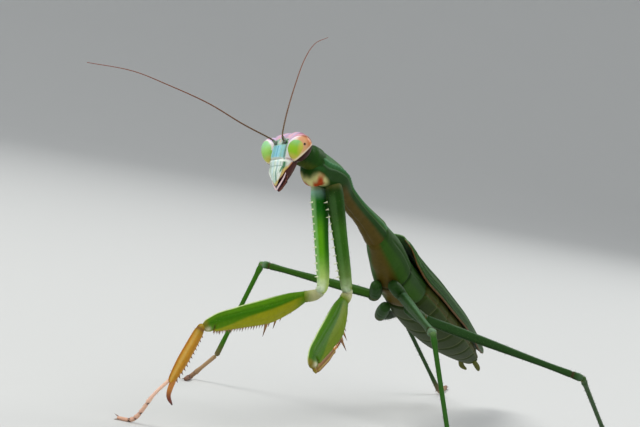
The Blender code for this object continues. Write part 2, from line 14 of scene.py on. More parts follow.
import bmesh
import bpy
import numpy as np
from mathutils import Matrix, Vector

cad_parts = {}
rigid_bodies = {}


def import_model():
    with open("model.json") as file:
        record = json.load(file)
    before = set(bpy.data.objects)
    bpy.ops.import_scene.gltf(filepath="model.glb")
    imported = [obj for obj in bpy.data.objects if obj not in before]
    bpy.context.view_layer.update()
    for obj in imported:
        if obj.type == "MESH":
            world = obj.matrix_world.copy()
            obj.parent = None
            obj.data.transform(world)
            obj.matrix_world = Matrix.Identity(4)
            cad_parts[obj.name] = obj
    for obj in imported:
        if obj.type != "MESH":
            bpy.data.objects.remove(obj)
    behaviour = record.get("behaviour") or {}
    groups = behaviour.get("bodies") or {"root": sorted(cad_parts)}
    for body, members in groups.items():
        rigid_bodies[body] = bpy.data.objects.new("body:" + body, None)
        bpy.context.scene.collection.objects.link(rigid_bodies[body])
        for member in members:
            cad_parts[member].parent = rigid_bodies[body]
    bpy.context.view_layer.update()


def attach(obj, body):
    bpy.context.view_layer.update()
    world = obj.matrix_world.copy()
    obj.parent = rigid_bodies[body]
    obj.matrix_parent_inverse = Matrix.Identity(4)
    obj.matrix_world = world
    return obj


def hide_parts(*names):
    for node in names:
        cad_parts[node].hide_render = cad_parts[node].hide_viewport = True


LOG = logging.getLogger("mantis")
MM = 0.001
SHIFT = np.array([1.003, -11.58, 0.0])  # from the waist's foot to the middle of the floor box
Array = np.ndarray


class Side(Enum):
    """The animal's own left or right."""

    LEFT = 1
    RIGHT = -1

    @property
    def word(self) -> str:
        """The side's name as the frame's nodes spell it."""
        return self.name.lower()


# ------------------------------------------------------------------ directions and curves


def direction(azimuth: float, elevation: float) -> Array:
    """A unit vector.

    Args:
        azimuth: degrees from +X towards +Y.
        elevation: degrees above the floor.

    Returns:
        The vector.
    """
    turn, rise = math.radians(azimuth), math.radians(elevation)
    return np.array([math.cos(rise) * math.cos(turn), math.cos(rise) * math.sin(turn), math.sin(rise)])


def unit(vector: Array) -> Array:
    """The vector, or each row of vectors, at length one."""
    return vector / np.maximum(np.linalg.norm(vector, axis=-1, keepdims=True), 1e-12)


def ease(low: float, high: float, value: Array) -> Array:
    """A smooth step from 0 at low to 1 at high."""
    t = np.clip((value - low) / (high - low), 0, 1)
    return t * t * (3 - 2 * t)


def bump(centre: float, width: float, value: Array) -> Array:
    """A bell of height one round a centre."""
    return np.exp(-(((value - centre) / width) ** 2))


def opened(distance: Array, radius: float) -> Array:
    """How far a section has opened at a distance from a rounded end."""
    inside = np.clip(1 - distance / radius, 0, 1)
    return np.sqrt(np.maximum(0, 1 - inside**2))


class Contour:
    """A smooth curve through (place, value) pairs that never overshoots them."""

    def __init__(self, *pairs: tuple[float, float]) -> None:
        """Keeps the pairs and works out the slope at each.

        Args:
            *pairs: the places and their values, in order.
        """
        self.place = np.array([pair[0] for pair in pairs], float)
        self.value = np.array([pair[1] for pair in pairs], float)
        rise = np.diff(self.value) / np.diff(self.place)
        slope = np.zeros_like(self.value)
        slope[0], slope[-1] = rise[0], rise[-1]
        same = rise[:-1] * rise[1:] > 0
        slope[1:-1][same] = (2 * rise[:-1] * rise[1:] / (rise[:-1] + rise[1:] + 1e-12))[same]
        self.slope = slope

    def __call__(self, t: Array) -> Array:
        """The values at t.

        Args:
            t: the places where values are wanted; past either end, its value stays.

        Returns:
            The values.
        """
        t = np.clip(np.asarray(t, float), self.place[0], self.place[-1])
        i = np.clip(np.searchsorted(self.place, t, side="right") - 1, 0, len(self.place) - 2)
        span = self.place[i + 1] - self.place[i]
        s = (t - self.place[i]) / span
        flat = self.value[i] * (1 + 2 * s) * (1 - s) ** 2 + self.value[i + 1] * s * s * (3 - 2 * s)
        return flat + span * (self.slope[i] * s * (1 - s) ** 2 - self.slope[i + 1] * s * s * (1 - s))


@dataclass(frozen=True)
class Axes:
    """A body's own origin and its forward, left and up directions."""

    origin: Array
    forward: Array
    left: Array
    up: Array

    @classmethod
    def turned(cls, origin: Sequence[float], azimuth: float, elevation: float, roll: float) -> "Axes":
        """Axes that look along a direction, with the left side raised by roll.

        Args:
            origin: where the axes start.
            azimuth: degrees from +X towards +Y.
            elevation: degrees above the floor.
            roll: degrees by which the left side is raised.

        Returns:
            The axes.
        """
        forward = direction(azimuth, elevation)
        level = unit(np.cross([0, 0, 1.0], forward))
        upright = np.cross(forward, level)
        tilt = math.radians(roll)
        left = level * math.cos(tilt) + upright * math.sin(tilt)
        return cls(np.array(origin, float), forward, left, upright * math.cos(tilt) - level * math.sin(tilt))

    def at(self, ahead: Array, left: Array, up: Array) -> Array:
        """Points given by their distances along the three directions."""
        ahead, left, up = np.broadcast_arrays(ahead, left, up)
        return self.origin + ahead[..., None] * self.forward + left[..., None] * self.left + up[..., None] * self.up

    def moved(self, ahead: float, left: float, up: float) -> "Axes":
        """The same directions from another origin."""
        return Axes(self.at(ahead, left, up), self.forward, self.left, self.up)

    def local(self, points: Array) -> tuple[Array, Array, Array]:
        """How far points lie ahead, to the left and up."""
        away = points - self.origin
        return away @ self.forward, away @ self.left, away @ self.up


class Line:
    """A smooth middle line through points, with its left and up directions."""

    def __init__(self, points: Sequence[Array], up: Sequence[float]) -> None:
        """Keeps the points and the direction that counts as up.

        Args:
            points: the points that the line runs through.
            up: the direction that counts as up.
        """
        self.points = np.array([np.asarray(point, float) for point in points])
        self.up = np.asarray(up, float)
        self.steps = np.linalg.norm(np.diff(self.points, axis=0), axis=1)
        self.length = float(self.steps.sum())

    def at(self, t: Array) -> tuple[Array, Array, Array]:
        """The centre, the left and the up direction at t from 0 to 1.

        Args:
            t: places along the length, from 0 to 1.

        Returns:
            The centres, the left directions and the up directions.
        """
        t = np.asarray(t, float)
        ends = np.concatenate([[0], np.cumsum(self.steps)])
        want = t * self.length
        i = np.clip(np.searchsorted(ends, want, side="right") - 1, 0, len(self.steps) - 1)
        s = ((want - ends[i]) / self.steps[i])[..., None]
        p = self.points
        start, end = p[i], p[i + 1]
        before = np.where((i > 0)[..., None], p[np.maximum(i - 1, 0)], 2 * start - end)
        last = (i + 2 < len(p))[..., None]
        after = np.where(last, p[np.minimum(i + 2, len(p) - 1)], 2 * end - start)
        pull_in, pull_out = (end - before) / 2, (after - start) / 2
        centre = start * (2 * s**3 - 3 * s**2 + 1) + pull_in * (s**3 - 2 * s**2 + s)
        centre = centre + end * (3 * s**2 - 2 * s**3) + pull_out * (s**3 - s**2)
        along = (start - end) * (6 * s**2 - 6 * s) + pull_in * (3 * s**2 - 4 * s + 1)
        along = unit(along + pull_out * (3 * s**2 - 2 * s))
        left = unit(np.cross(np.broadcast_to(self.up, along.shape), along))
        return centre, left, np.cross(along, left)

    def spot(self, t: float) -> tuple[Array, ...]:
        """The centre, the left and the up direction at one place."""
        return tuple(row[0] for row in self.at(np.array([t])))


# ------------------------------------------------------------------ colours


def dye(red: float, green: float, blue: float) -> Array:
    """A linear colour from screen values of 0 to 255."""
    c = np.array([red, green, blue], float) / 255
    return np.where(c <= 0.04045, c / 12.92, ((c + 0.055) / 1.055) ** 2.4)


class Dye:
    """The animal's colours."""

    BLACKISH = dye(20, 38, 14)
    TEAL = dye(112, 160, 134)
    PALE = dye(214, 224, 202)
    CREAM = dye(214, 204, 158)
    WHITE = dye(226, 232, 224)
    LILAC = dye(196, 176, 208)
    SKY = dye(146, 204, 214)
    BLUE = dye(86, 150, 182)
    # dark maroon for the back of the head and the cheek: their reddish-brown with painted shade over it
    EYE_GREEN = dye(140, 184, 48)
    MAROON = dye(66, 22, 16)
    BLACK = dye(20, 14, 14)


def over(base: Array, colour: Array, mask: Array) -> Array:
    """The base colours with another laid over them where the mask is one."""
    return base + (colour - base) * np.clip(mask, 0, 1)[..., None]


def layered(tint: Array, *coats: tuple[tuple[float, float, float], Array]) -> Array:
    """Lays screen colours over a tint in turn, each where its mask is one.

    Args:
        tint: the colours below.
        *coats: a screen colour and its mask, in the order in which they are laid.

    Returns:
        The colours.
    """
    for colour, mask in coats:
        tint = over(tint, dye(*colour), mask)
    return tint


# ------------------------------------------------------------------ meshes


def quads(rows: int, sides: int, closed: bool = True) -> list[tuple[int, int, int, int]]:
    """The faces between rows of vertices.

    Args:
        rows: how many rows there are.
        sides: how many vertices each row has.
        closed: whether a row's last vertex meets its first.

    Returns:
        The four vertex numbers of each face, row by row.
    """
    starts = range(sides if closed else sides - 1)
    pairs = [(row * sides + side, row * sides + (side + 1) % sides) for row in range(rows - 1) for side in starts]
    return [(a, b, b + sides, a + sides) for a, b in pairs]


@dataclass
class Skin:
    """A closed surface of rings between two poles, with the places used to colour it."""

    points: Array  # rings by sides by 3, the first and last rings are the poles
    t: Array
    angle: Array

    @property
    def normals(self) -> Array:
        """The outward directions at every place of the grid.

        Returns:
            The directions.
        """
        around = np.roll(self.points, -1, axis=1) - np.roll(self.points, 1, axis=1)
        normals = unit(np.cross(around, np.gradient(self.points, axis=0)))
        outwards = self.points - self.points.mean(axis=1, keepdims=True)
        return normals if (normals * outwards).sum() > 0 else -normals

    def raised(self, amount: Array) -> "Skin":
        """The surface moved outwards by an amount at each place.

        Args:
            amount: how far each place of the grid moves.

        Returns:
            The new surface.
        """
        amount = np.asarray(amount, float).copy()
        amount[0], amount[-1] = amount[0].mean(), amount[-1].mean()
        normals = self.normals
        for end, inside in ((0, 2), (-1, -3)):
            normals[end] = unit(self.points[end] - self.points[inside].mean(0))
        return Skin(self.points + normals * amount[..., None], self.t, self.angle)

    def plain(self, red: float, green: float, blue: float) -> Array:
        """One screen colour at every place."""
        return np.broadcast_to(dye(red, green, blue), self.points.shape)

    def faces(self) -> list[tuple[int, ...]]:
        """Quads between the rings and a fan at each pole.

        Returns:
            The faces as tuples of vertex numbers.
        """
        rings, sides = self.t.shape
        inner = rings - 2
        faces: list[tuple[int, ...]] = list(quads(inner, sides))
        first, last = inner * sides, inner * sides + 1
        for j in range(sides):
            k = (j + 1) % sides
            faces.append((first, k, j))
            faces.append((last, (inner - 1) * sides + j, (inner - 1) * sides + k))
        return faces

    def flat(self, grid: Array) -> Array:
        """A grid of values as a list of one value for each vertex."""
        inner = grid[1:-1].reshape((-1,) + grid.shape[2:])
        return np.concatenate([inner, grid[0].mean(0)[None], grid[-1].mean(0)[None]])


def sweep(place: Callable[[Array, Array], Array], rings: int, sides: int, even: float = 0.35) -> Skin:
    """Makes a closed surface from a function that places its points.

    Args:
        place: gives the points at t from 0 to 1 and at an angle.
        rings: how many rings, the poles among them.
        sides: how many places round each ring.
        even: how evenly the rings are spread; at 0 they crowd towards the ends.

    Returns:
        The surface.
    """
    step = np.linspace(0, 1, rings)
    t = even * step + (1 - even) * (1 - np.cos(math.pi * step)) / 2
    a = np.linspace(0, 2 * math.pi, sides, endpoint=False)
    grid_t, grid_a = np.meshgrid(t, a, indexing="ij")
    points = place(grid_t, grid_a)
    points[0] = points[0].mean(0)
    points[-1] = points[-1].mean(0)
    return Skin(points, grid_t, grid_a)


def placed(name: str, data: bpy.types.ID) -> bpy.types.Object:
    """A new object of the scene that shows the data.

    Args:
        name: the object's name.
        data: what it shows.

    Returns:
        The object.
    """
    thing = bpy.data.objects.new(name, data)
    bpy.context.scene.collection.objects.link(thing)
    return thing


def written(mesh: bpy.types.Mesh, name: str, kind: str, rows: Array) -> None:
    """Stores one value of a kind for each vertex of a mesh, under a name."""
    key = {"FLOAT_COLOR": "color", "FLOAT_VECTOR": "vector", "FLOAT": "value"}[kind]
    mesh.attributes.new(name, kind, "POINT").data.foreach_set(key, np.asarray(rows, np.float32).ravel())


def new_piece(name: str, points: Array, faces: Sequence, tint: Array | None = None) -> bpy.types.Object:
    """A smooth mesh object in the frame's metres.

    Args:
        name: the piece's name.
        points: its vertices in millimetres, before the shift to the middle of the floor.
        faces: tuples of vertex numbers.
        tint: one linear colour for each vertex.

    Returns:
        The object, linked to the scene.
    """
    mesh = bpy.data.meshes.new(name)
    mesh.from_pydata(((points + SHIFT) * MM).tolist(), [], faces)
    if tint is not None:
        written(mesh, "tint", "FLOAT_COLOR", np.concatenate([tint, np.ones((len(tint), 1))], axis=1))
    mesh.shade_smooth()
    mesh.update()
    return placed(name, mesh)


def face_outwards(thing: bpy.types.Object) -> None:
    """Turns every face of a closed mesh outwards.

    Args:
        thing: the object, which is changed in place.
    """
    shape = bmesh.new()
    shape.from_mesh(thing.data)
    bmesh.ops.recalc_face_normals(shape, faces=shape.faces)
    shape.to_mesh(thing.data)
    shape.free()


def dress(name: str, surface: Skin, tint: Array, finish: "Finish") -> bpy.types.Object:
    """Makes a swept surface an object with its colours, its unwrap and its finish.

    Args:
        name: the object's name.
        surface: the swept surface.
        tint: the colours of the surface's places.
        finish: its finish.

    Returns:
        The object.
    """
    piece = new_piece(name, surface.flat(surface.points), surface.faces(), surface.flat(tint))
    unwrap = np.stack([0.02 + 0.96 * surface.t, 0.02 + 0.96 * surface.angle / (2 * math.pi), 0 * surface.t], axis=-1)
    written(piece.data, "unwrap", "FLOAT_VECTOR", surface.flat(unwrap))
    face_outwards(piece)
    piece.data.materials.append(finish.material())
    return piece


def joined(name: str, things: Sequence[bpy.types.Object]) -> bpy.types.Object:
    """Joins objects that share one finish into one mesh.

    Args:
        name: the object's name.
        things: the objects, which are removed.

    Returns:
        The object.
    """
    shape = bmesh.new()
    for thing in things:
        shape.from_mesh(thing.data)
    mesh = bpy.data.meshes.new(name)
    shape.to_mesh(mesh)
    shape.free()
    for material in things[0].data.materials:
        mesh.materials.append(material)
    mesh.shade_smooth()
    for thing in things:
        bpy.data.objects.remove(thing)
    return placed(name, mesh)


def settle(piece: bpy.types.Object, slot: str, *nodes: str) -> bpy.types.Object:
    """Hangs a finished piece on the frame and names what it stands for.

    Args:
        piece: the finished piece.
        slot: the look that it belongs to; not used.
        *nodes: the frame's nodes that it stands for, if any.

    Returns:
        The same piece.
    """
    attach(piece, "root")
    if nodes:
        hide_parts(*nodes)
    LOG.info("%s: %d faces for %s", piece.name, len(piece.data.polygons), ", ".join(nodes) or "trim")
    return piece


# ------------------------------------------------------------------ node trees


class Signal:
    """An output socket that can be used in sums."""

    def __init__(self, nodes: "Nodes", socket: bpy.types.NodeSocket) -> None:
        """Keeps the socket and the tree that it belongs to."""
        self.nodes = nodes
        self.socket = socket

    def _math(self, operation: str, first: "Signal | float", second: "Signal | float") -> "Signal":
        """One Math node over two values."""
        return self.nodes.add("ShaderNodeMath", {"operation": operation}, {0: first, 1: second})

    def __add__(self, other: "Signal | float") -> "Signal":
        """self + other."""
        return self._math("ADD", self, other)

    __radd__ = __add__

    def __sub__(self, other: "Signal | float") -> "Signal":
        """self - other."""
        return self._math("SUBTRACT", self, other)

    def __rsub__(self, other: float) -> "Signal":
        """other - self."""
        return self._math("SUBTRACT", other, self)

    def __mul__(self, other: "Signal | float") -> "Signal":
        """self * other."""
        return self._math("MULTIPLY", self, other)

    __rmul__ = __mul__

    def __pow__(self, other: float) -> "Signal":
        """self ** other."""
        return self._math("POWER", self, other)

    def step(self, low: float, high: float) -> "Signal":
        """A smooth step from 0 at low to 1 at high."""
        settings = {"interpolation_type": "SMOOTHSTEP"}
        return self.nodes.add("ShaderNodeMapRange", settings, {"Value": self, "From Min": low, "From Max": high})


class Nodes:
    """Adds nodes to one tree: settings first, then the values or links of their sockets."""

    def __init__(self, tree: bpy.types.NodeTree) -> None:
        """Keeps the tree."""
        self.tree = tree

    def add(self, kind: str, settings: dict | None = None, sockets: dict | None = None, out: int | str = 0) -> Signal:
        """Adds one node.

        Args:
            kind: the node's type.
            settings: its properties, set before anything is linked.
            sockets: values or signals, by the input's name or number.
            out: which output the result stands for.

        Returns:
            That output.
        """
        node = self.tree.nodes.new(kind)
        for name, value in (settings or {}).items():
            setattr(node, name, value)
        for name, value in (sockets or {}).items():
            if isinstance(value, Signal):
                self.tree.links.new(value.socket, node.inputs[name])
            else:
                node.inputs[name].default_value = value
        return Signal(self, node.outputs[out])

    def store(
        self, shape: Signal, name: str, value: Signal, kind: str = "FLOAT_COLOR", domain: str = "POINT"
    ) -> Signal:
        """A geometry with an attribute stored on it.

        Args:
            shape: the geometry.
            name: the attribute's name.
            value: the values.
            kind: the kind of value.
            domain: what has a value each.

        Returns:
            The geometry.
        """
        settings = {"data_type": kind, "domain": domain}
        sockets = {"Geometry": shape, "Name": name, "Value": value}
        return self.add("GeometryNodeStoreNamedAttribute", settings, sockets)

    def named(self, name: str, kind: str = "FLOAT_VECTOR") -> Signal:
        """An attribute read by its name."""
        return self.add("GeometryNodeInputNamedAttribute", {"data_type": kind}, {"Name": name})

    def tube(self, curve: Signal, radius: Signal, sides: int) -> Signal:
        """A round tube along a curve, closed at its ends.

        Args:
            curve: the middle line.
            radius: the radius.
            sides: how many sides it has.

        Returns:
            The geometry.
        """
        ring = self.add("GeometryNodeCurvePrimitiveCircle", {}, {"Resolution": sides, "Radius": 1.0})
        sockets = {"Curve": curve, "Profile Curve": ring, "Scale": radius, "Fill Caps": True}
        return self.add("GeometryNodeCurveToMesh", {}, sockets)

    def cone(self, sides: int, segments: int, top: float) -> Signal:
        """A cone one unit high that narrows to a fraction of its foot."""
        sockets = {"Vertices": sides, "Side Segments": segments, "Radius Top": top, "Radius Bottom": 1.0, "Depth": 1.0}
        return self.add("GeometryNodeMeshCone", {"fill_type": "TRIANGLE_FAN"}, sockets)

    def stood(self, points: Signal, shape: Signal, turn: Signal, girth: Signal, reach: Signal) -> Signal:
        """A shape stood on every point with its own turn, girth and reach.

        Args:
            points: where the shapes stand.
            shape: the shape that is repeated.
            turn: the rotation of each.
            girth: the width of each.
            reach: the height of each.

        Returns:
            The geometry.
        """
        size = self.add("ShaderNodeCombineXYZ", {}, {"X": girth, "Y": girth, "Z": reach})
        sockets = {"Points": points, "Instance": shape, "Rotation": turn, "Scale": size}
        return self.add("GeometryNodeInstanceOnPoints", {}, sockets)

    def mix(self, mask: "Signal | float", first: "Signal | tuple", second: "Signal | tuple") -> Signal:
        """A colour between two colours."""
        settings = {"data_type": "RGBA"}
        return self.add("ShaderNodeMix", settings, {0: mask, 6: first, 7: second}, out=2)

    def multiply(self, first: Signal, second: "Signal | tuple") -> Signal:
        """Two colours multiplied."""
        settings = {"data_type": "RGBA", "blend_type": "MULTIPLY"}
        return self.add("ShaderNodeMix", settings, {0: 1.0, 6: first, 7: second}, out=2)


class Relief(Enum):
    """What the surface of a finish feels like."""

    PITTED = "pitted"
    FACETED = "faceted"
    VEINED = "veined"
    PLAIN = "plain"


@dataclass(frozen=True)
class Finish:
    """One finish of the animal's shell. Its colours come from the piece's own tint."""

    name: str
    roughness: float = 0.42
    coat: float = 0.12
    mottle: float = 0.25
    mottle_size: float = 0.35
    grain: float = 0.12
    depth: float = 0.012
    sheen: float = 0.0
    glow: float = 0.05
    gloss: float = 0.25
    relief: Relief = Relief.PITTED

    def material(self) -> bpy.types.Material:
        """The material, made once.

        Returns:
            The material with its nodes.
        """
        found = bpy.data.materials.get(self.name)
        if found:
            return found
        material = bpy.data.materials.new(self.name)
        material.use_nodes = True
        nodes = Nodes(material.node_tree)
        shader = material.node_tree.nodes["Principled BSDF"]
        place = nodes.add("ShaderNodeTexCoord", out="Object")
        tint = nodes.add("ShaderNodeAttribute", {"attribute_name": "tint"}, out="Color")
        cloud = self._noise(nodes, place, self.mottle_size, 3.0)
        speck = self._noise(nodes, place, self.mottle_size * 0.22, 2.0)
        shade = (cloud.step(0.3, 0.75) * 0.7 + speck.step(0.35, 0.7) * 0.3) * self.mottle
        dark = nodes.multiply(tint, (0.5, 0.56, 0.42, 1))
        colour = nodes.mix(shade, tint, dark)
        height = self._height(nodes, place, speck)
        if self.relief is Relief.VEINED:
            net = self._net(nodes)
            colour = nodes.mix((1 - net) * 0.5, colour, nodes.multiply(tint, (1.9, 1.7, 1.3, 1)))
            height = height + (1 - net) * 0.8
        bumped = nodes.add(
            "ShaderNodeBump", {}, {"Strength": 0.65, "Distance": self.depth * MM, "Height": height}, out="Normal"
        )
        rough = self.roughness + (speck - 0.5) * 0.18
        links = material.node_tree.links
        links.new(colour.socket, shader.inputs["Base Color"])
        links.new(rough.socket, shader.inputs["Roughness"])
        links.new(bumped.socket, shader.inputs["Normal"])
        shader.inputs["Coat Weight"].default_value = self.coat
        shader.inputs["Specular IOR Level"].default_value = self.gloss
        shader.inputs["Coat Roughness"].default_value = 0.22
        shader.inputs["Sheen Weight"].default_value = self.sheen
        shader.inputs["Subsurface Weight"].default_value = self.glow
        shader.inputs["Subsurface Radius"].default_value = (0.6, 0.8, 0.3)
        shader.inputs["Subsurface Scale"].default_value = 0.5 * MM
        return material

    def _noise(self, nodes: Nodes, place: Signal, size: float, detail: float) -> Signal:
        """Noise whose blobs are about a size in millimetres."""
        sockets = {"Vector": place, "Scale": 1 / (size * MM), "Detail": detail, "Roughness": 0.55}
        return nodes.add("ShaderNodeTexNoise", {}, sockets)

    def _height(self, nodes: Nodes, place: Signal, speck: Signal) -> Signal:
        """The relief as heights from 0 to 1.

        Args:
            nodes: the tree that the nodes go into.
            place: the place on the surface.
            speck: the fine noise.

        Returns:
            The heights.
        """
        if self.relief is Relief.PLAIN:
            return speck
        if self.relief is Relief.FACETED:
            cells = nodes.add("ShaderNodeTexVoronoi", {}, {"Vector": place, "Scale": 1 / (0.055 * MM)})
            return 1 - cells**2
        pits = nodes.add("ShaderNodeTexVoronoi", {}, {"Vector": place, "Scale": 1 / (self.grain * MM)})
        return pits.step(0.0, 0.6) * 0.6 + speck * 0.5

    def _net(self, nodes: Nodes) -> Signal:
        """The fine net of cross veins, drawn on the wing's own map.

        Args:
            nodes: the tree that the nodes go into.

        Returns:
            The net, 0 on a vein.
        """
        chart = nodes.add("ShaderNodeUVMap", {"uv_map": "vane"})
        cells = nodes.add("ShaderNodeTexVoronoi", {"feature": "DISTANCE_TO_EDGE"}, {"Vector": chart, "Scale": 1.0})
        return cells.step(0.02, 0.1)


class Coat:
    """The finishes that the pieces share."""

    FACE = Finish("face_shell", 0.42, 0.06, 0.22, 0.28, 0.09, 0.010, glow=0.1)
    EYE = Finish("eye_shell", 0.36, 0.06, 0.10, 0.4, 0.1, 0.004, glow=0.12, gloss=0.14, relief=Relief.FACETED)
    MOUTH = Finish("mouth_shell", 0.42, 0.06, 0.3, 0.2, 0.08, 0.010)
    TRUNK = Finish("trunk_shell", 0.55, 0.0, 0.5, 0.5, 0.16, 0.02, gloss=0.1)
    ABDOMEN = Finish("abdomen_shell", 0.6, 0.0, 0.5, 0.6, 0.14, 0.02, gloss=0.12)
    WING = Finish("wing_cover", 0.52, 0.0, 0.45, 0.9, 0.2, 0.03, gloss=0.12, relief=Relief.VEINED)
    VEIN = Finish("wing_vein", 0.5, 0.02, 0.3, 0.4, 0.1, 0.01, gloss=0.16)
    FORELEG = Finish("foreleg_shell", 0.55, 0.0, 0.36, 0.55, 0.12, 0.014, glow=0.08, gloss=0.08)
    TIBIA = Finish("foretibia_shell", 0.5, 0.02, 0.3, 0.35, 0.1, 0.012, glow=0.1, gloss=0.12)
    LEG = Finish("leg_shell", 0.5, 0.0, 0.45, 0.5, 0.12, 0.014, gloss=0.12)
    FOOT = Finish("foot_shell", 0.5, 0.0, 0.3, 0.25, 0.08, 0.010, glow=0.1, gloss=0.1)
    SPINE = Finish("spine_horn", 0.32, 0.2, 0.2, 0.2, 0.08, 0.005, glow=0.1, relief=Relief.PLAIN)
    THREAD = Finish("antenna_thread", 0.55, 0.0, 0.3, 0.12, 0.05, 0.006, gloss=0.15)
    HAIR = Finish("body_hair", 0.55, 0.0, 0.2, 0.2, 0.05, 0.002, glow=0.0, relief=Relief.PLAIN)


# ------------------------------------------------------------------ repeated things


class Socket(Enum):
    """The kinds of input that a geometry tree takes."""

    NUMBER = "NodeSocketFloat"
    COUNT = "NodeSocketInt"
    COLOUR = "NodeSocketColor"
    MATERIAL = "NodeSocketMaterial"


class Grower:
    """A geometry tree with named inputs that turns a guide mesh into finished mesh."""

    title = "grower"
    wants: tuple[tuple[str, Socket], ...] = ()

    def __init__(self) -> None:
        """Builds the tree once."""
        self.tree = bpy.data.node_groups.new(self.title, "GeometryNodeTree")
        face = self.tree.interface
        face.new_socket("Geometry", in_out="INPUT", socket_type="NodeSocketGeometry")
        face.new_socket("Geometry", in_out="OUTPUT", socket_type="NodeSocketGeometry")
        self.ids: dict[str, str] = {}
        for name, kind in self.wants:
            self.ids[name] = face.new_socket(name, in_out="INPUT", socket_type=kind.value).identifier
        nodes = Nodes(self.tree)
        entry = self.tree.nodes.new("NodeGroupInput")
        given = {socket.name: Signal(nodes, socket) for socket in entry.outputs if socket.name}
        made = self.grow(nodes, given)
        real = nodes.add("GeometryNodeRealizeInstances", {}, {"Geometry": made})
        done = nodes.add("GeometryNodeSetMaterial", {}, {"Geometry": real, "Material": given["Material"]})
        leave = self.tree.nodes.new("NodeGroupOutput")
        self.tree.links.new(done.socket, leave.inputs["Geometry"])

    def grow(self, nodes: Nodes, given: dict[str, Signal]) -> Signal:
        """The geometry that the tree makes from its inputs."""
        raise NotImplementedError

    def run(self, guide: bpy.types.Object, finish: Finish, **values: float) -> bpy.types.Object:
        """Grows a plain mesh from a guide and removes the guide.

        Args:
            guide: the object whose mesh the tree reads.
            finish: what the result is finished with.
            **values: the tree's inputs, with _ for a space in their names.

        Returns:
            A new mesh object with the guide's name.
        """
        modifier = guide.modifiers.new(self.title, "NODES")
        modifier.node_group = self.tree
        modifier[self.ids["Material"]] = finish.material()
        for name, value in values.items():
            modifier[self.ids[name.replace("_", " ")]] = value
        bpy.context.view_layer.update()
        graph = bpy.context.evaluated_depsgraph_get()
        mesh = bpy.data.meshes.new_from_object(guide.evaluated_get(graph), depsgraph=graph)
        name = guide.name
        guide.modifiers.remove(modifier)
        bpy.data.objects.remove(guide)
        mesh.shade_smooth()
        return placed(name, mesh)


class Thread(Grower):
    """A tapering thread with raised rings along a guide line, such as an antenna."""

    title = "ringed_thread"
    wants = (
        ("Points", Socket.COUNT),
        ("Rings", Socket.NUMBER),
        ("Root Radius", Socket.NUMBER),
        ("Tip Radius", Socket.NUMBER),
        ("Ring Depth", Socket.NUMBER),
        ("Root Tint", Socket.COLOUR),
        ("Tip Tint", Socket.COLOUR),
        ("Material", Socket.MATERIAL),
    )

    def grow(self, nodes: Nodes, given: dict[str, Signal]) -> Signal:
        """Resamples the line and sweeps a ringed circle along it.

        Args:
            nodes: the tree that the nodes go into.
            given: the tree's inputs by name.

        Returns:
            The geometry.
        """
        curve = nodes.add("GeometryNodeMeshToCurve", {}, {"Mesh": given["Geometry"]})
        curve = nodes.add("GeometryNodeResampleCurve", {}, {"Curve": curve, "Count": given["Points"]})
        factor = nodes.add("GeometryNodeSplineParameter")
        turn = factor * given["Rings"] * (2 * math.pi)
        wave = nodes.add("ShaderNodeMath", {"operation": "COSINE"}, {0: turn})
        radius = given["Root Radius"] + (given["Tip Radius"] - given["Root Radius"]) * factor
        radius = radius * (1 - (wave * 0.5 + 0.5) ** 3.0 * given["Ring Depth"])
        tint = nodes.mix(factor ** 0.7, given["Root Tint"], given["Tip Tint"])
        dark = nodes.multiply(tint, (0.62, 0.55, 0.5, 1))
        tint = nodes.mix((wave * 0.5 + 0.5) ** 2.0, tint, dark)
        curve = nodes.store(curve, "tint", tint)
        return nodes.tube(curve, radius, 10)


class Veins(Grower):
    """Raised veins along guide lines, each as thick as its points say."""

    title = "raised_veins"
    wants = (("Thickness", Socket.NUMBER), ("Material", Socket.MATERIAL))

    def grow(self, nodes: Nodes, given: dict[str, Signal]) -> Signal:
        """Sweeps a circle along each line at its own girth."""
        curve = nodes.add("GeometryNodeMeshToCurve", {}, {"Mesh": given["Geometry"]})
        return nodes.tube(curve, nodes.named("girth", "FLOAT") * given["Thickness"], 6)


class Spines(Grower):
    """Bent pointed spines with dark tips, one on each guide point along its aim."""

    title = "spine_rows"
    wants = (
        ("Bend", Socket.NUMBER),
        ("Root Tint", Socket.COLOUR),
        ("Tip Tint", Socket.COLOUR),
        ("Tip Start", Socket.NUMBER),
        ("Material", Socket.MATERIAL),
    )

    def grow(self, nodes: Nodes, given: dict[str, Signal]) -> Signal:
        """Bends and tints one cone and stands it on every point.

        Args:
            nodes: the tree that the nodes go into.
            given: the tree's inputs by name.

        Returns:
            The geometry.
        """
        cone = nodes.cone(10, 7, 0.06)
        place = nodes.add("GeometryNodeInputPosition")
        split = nodes.tree.nodes.new("ShaderNodeSeparateXYZ")
        nodes.tree.links.new(place.socket, split.inputs[0])
        height = Signal(nodes, split.outputs[2])
        lean = nodes.add("ShaderNodeCombineXYZ", {}, {"X": height**2.0 * given["Bend"]})
        cone = nodes.add("GeometryNodeSetPosition", {}, {"Geometry": cone, "Offset": lean})
        tip = nodes.add("ShaderNodeMapRange", {}, {"Value": height, "From Min": given["Tip Start"], "From Max": 1.0})
        tint = nodes.mix(tip, given["Root Tint"], given["Tip Tint"])
        cone = nodes.store(cone, "tint", tint)
        aim, side, girth = nodes.named("aim"), nodes.named("lean"), nodes.named("girth", "FLOAT")
        reach = nodes.add("ShaderNodeVectorMath", {"operation": "LENGTH"}, {0: aim}, out="Value")
        turn = nodes.add("FunctionNodeAlignRotationToVector", {"axis": "Z"}, {"Vector": aim})
        turn = nodes.add(
            "FunctionNodeAlignRotationToVector", {"axis": "X", "pivot_axis": "Z"}, {"Rotation": turn, "Vector": side}
        )
        return nodes.stood(given["Geometry"], cone, turn, girth, reach)


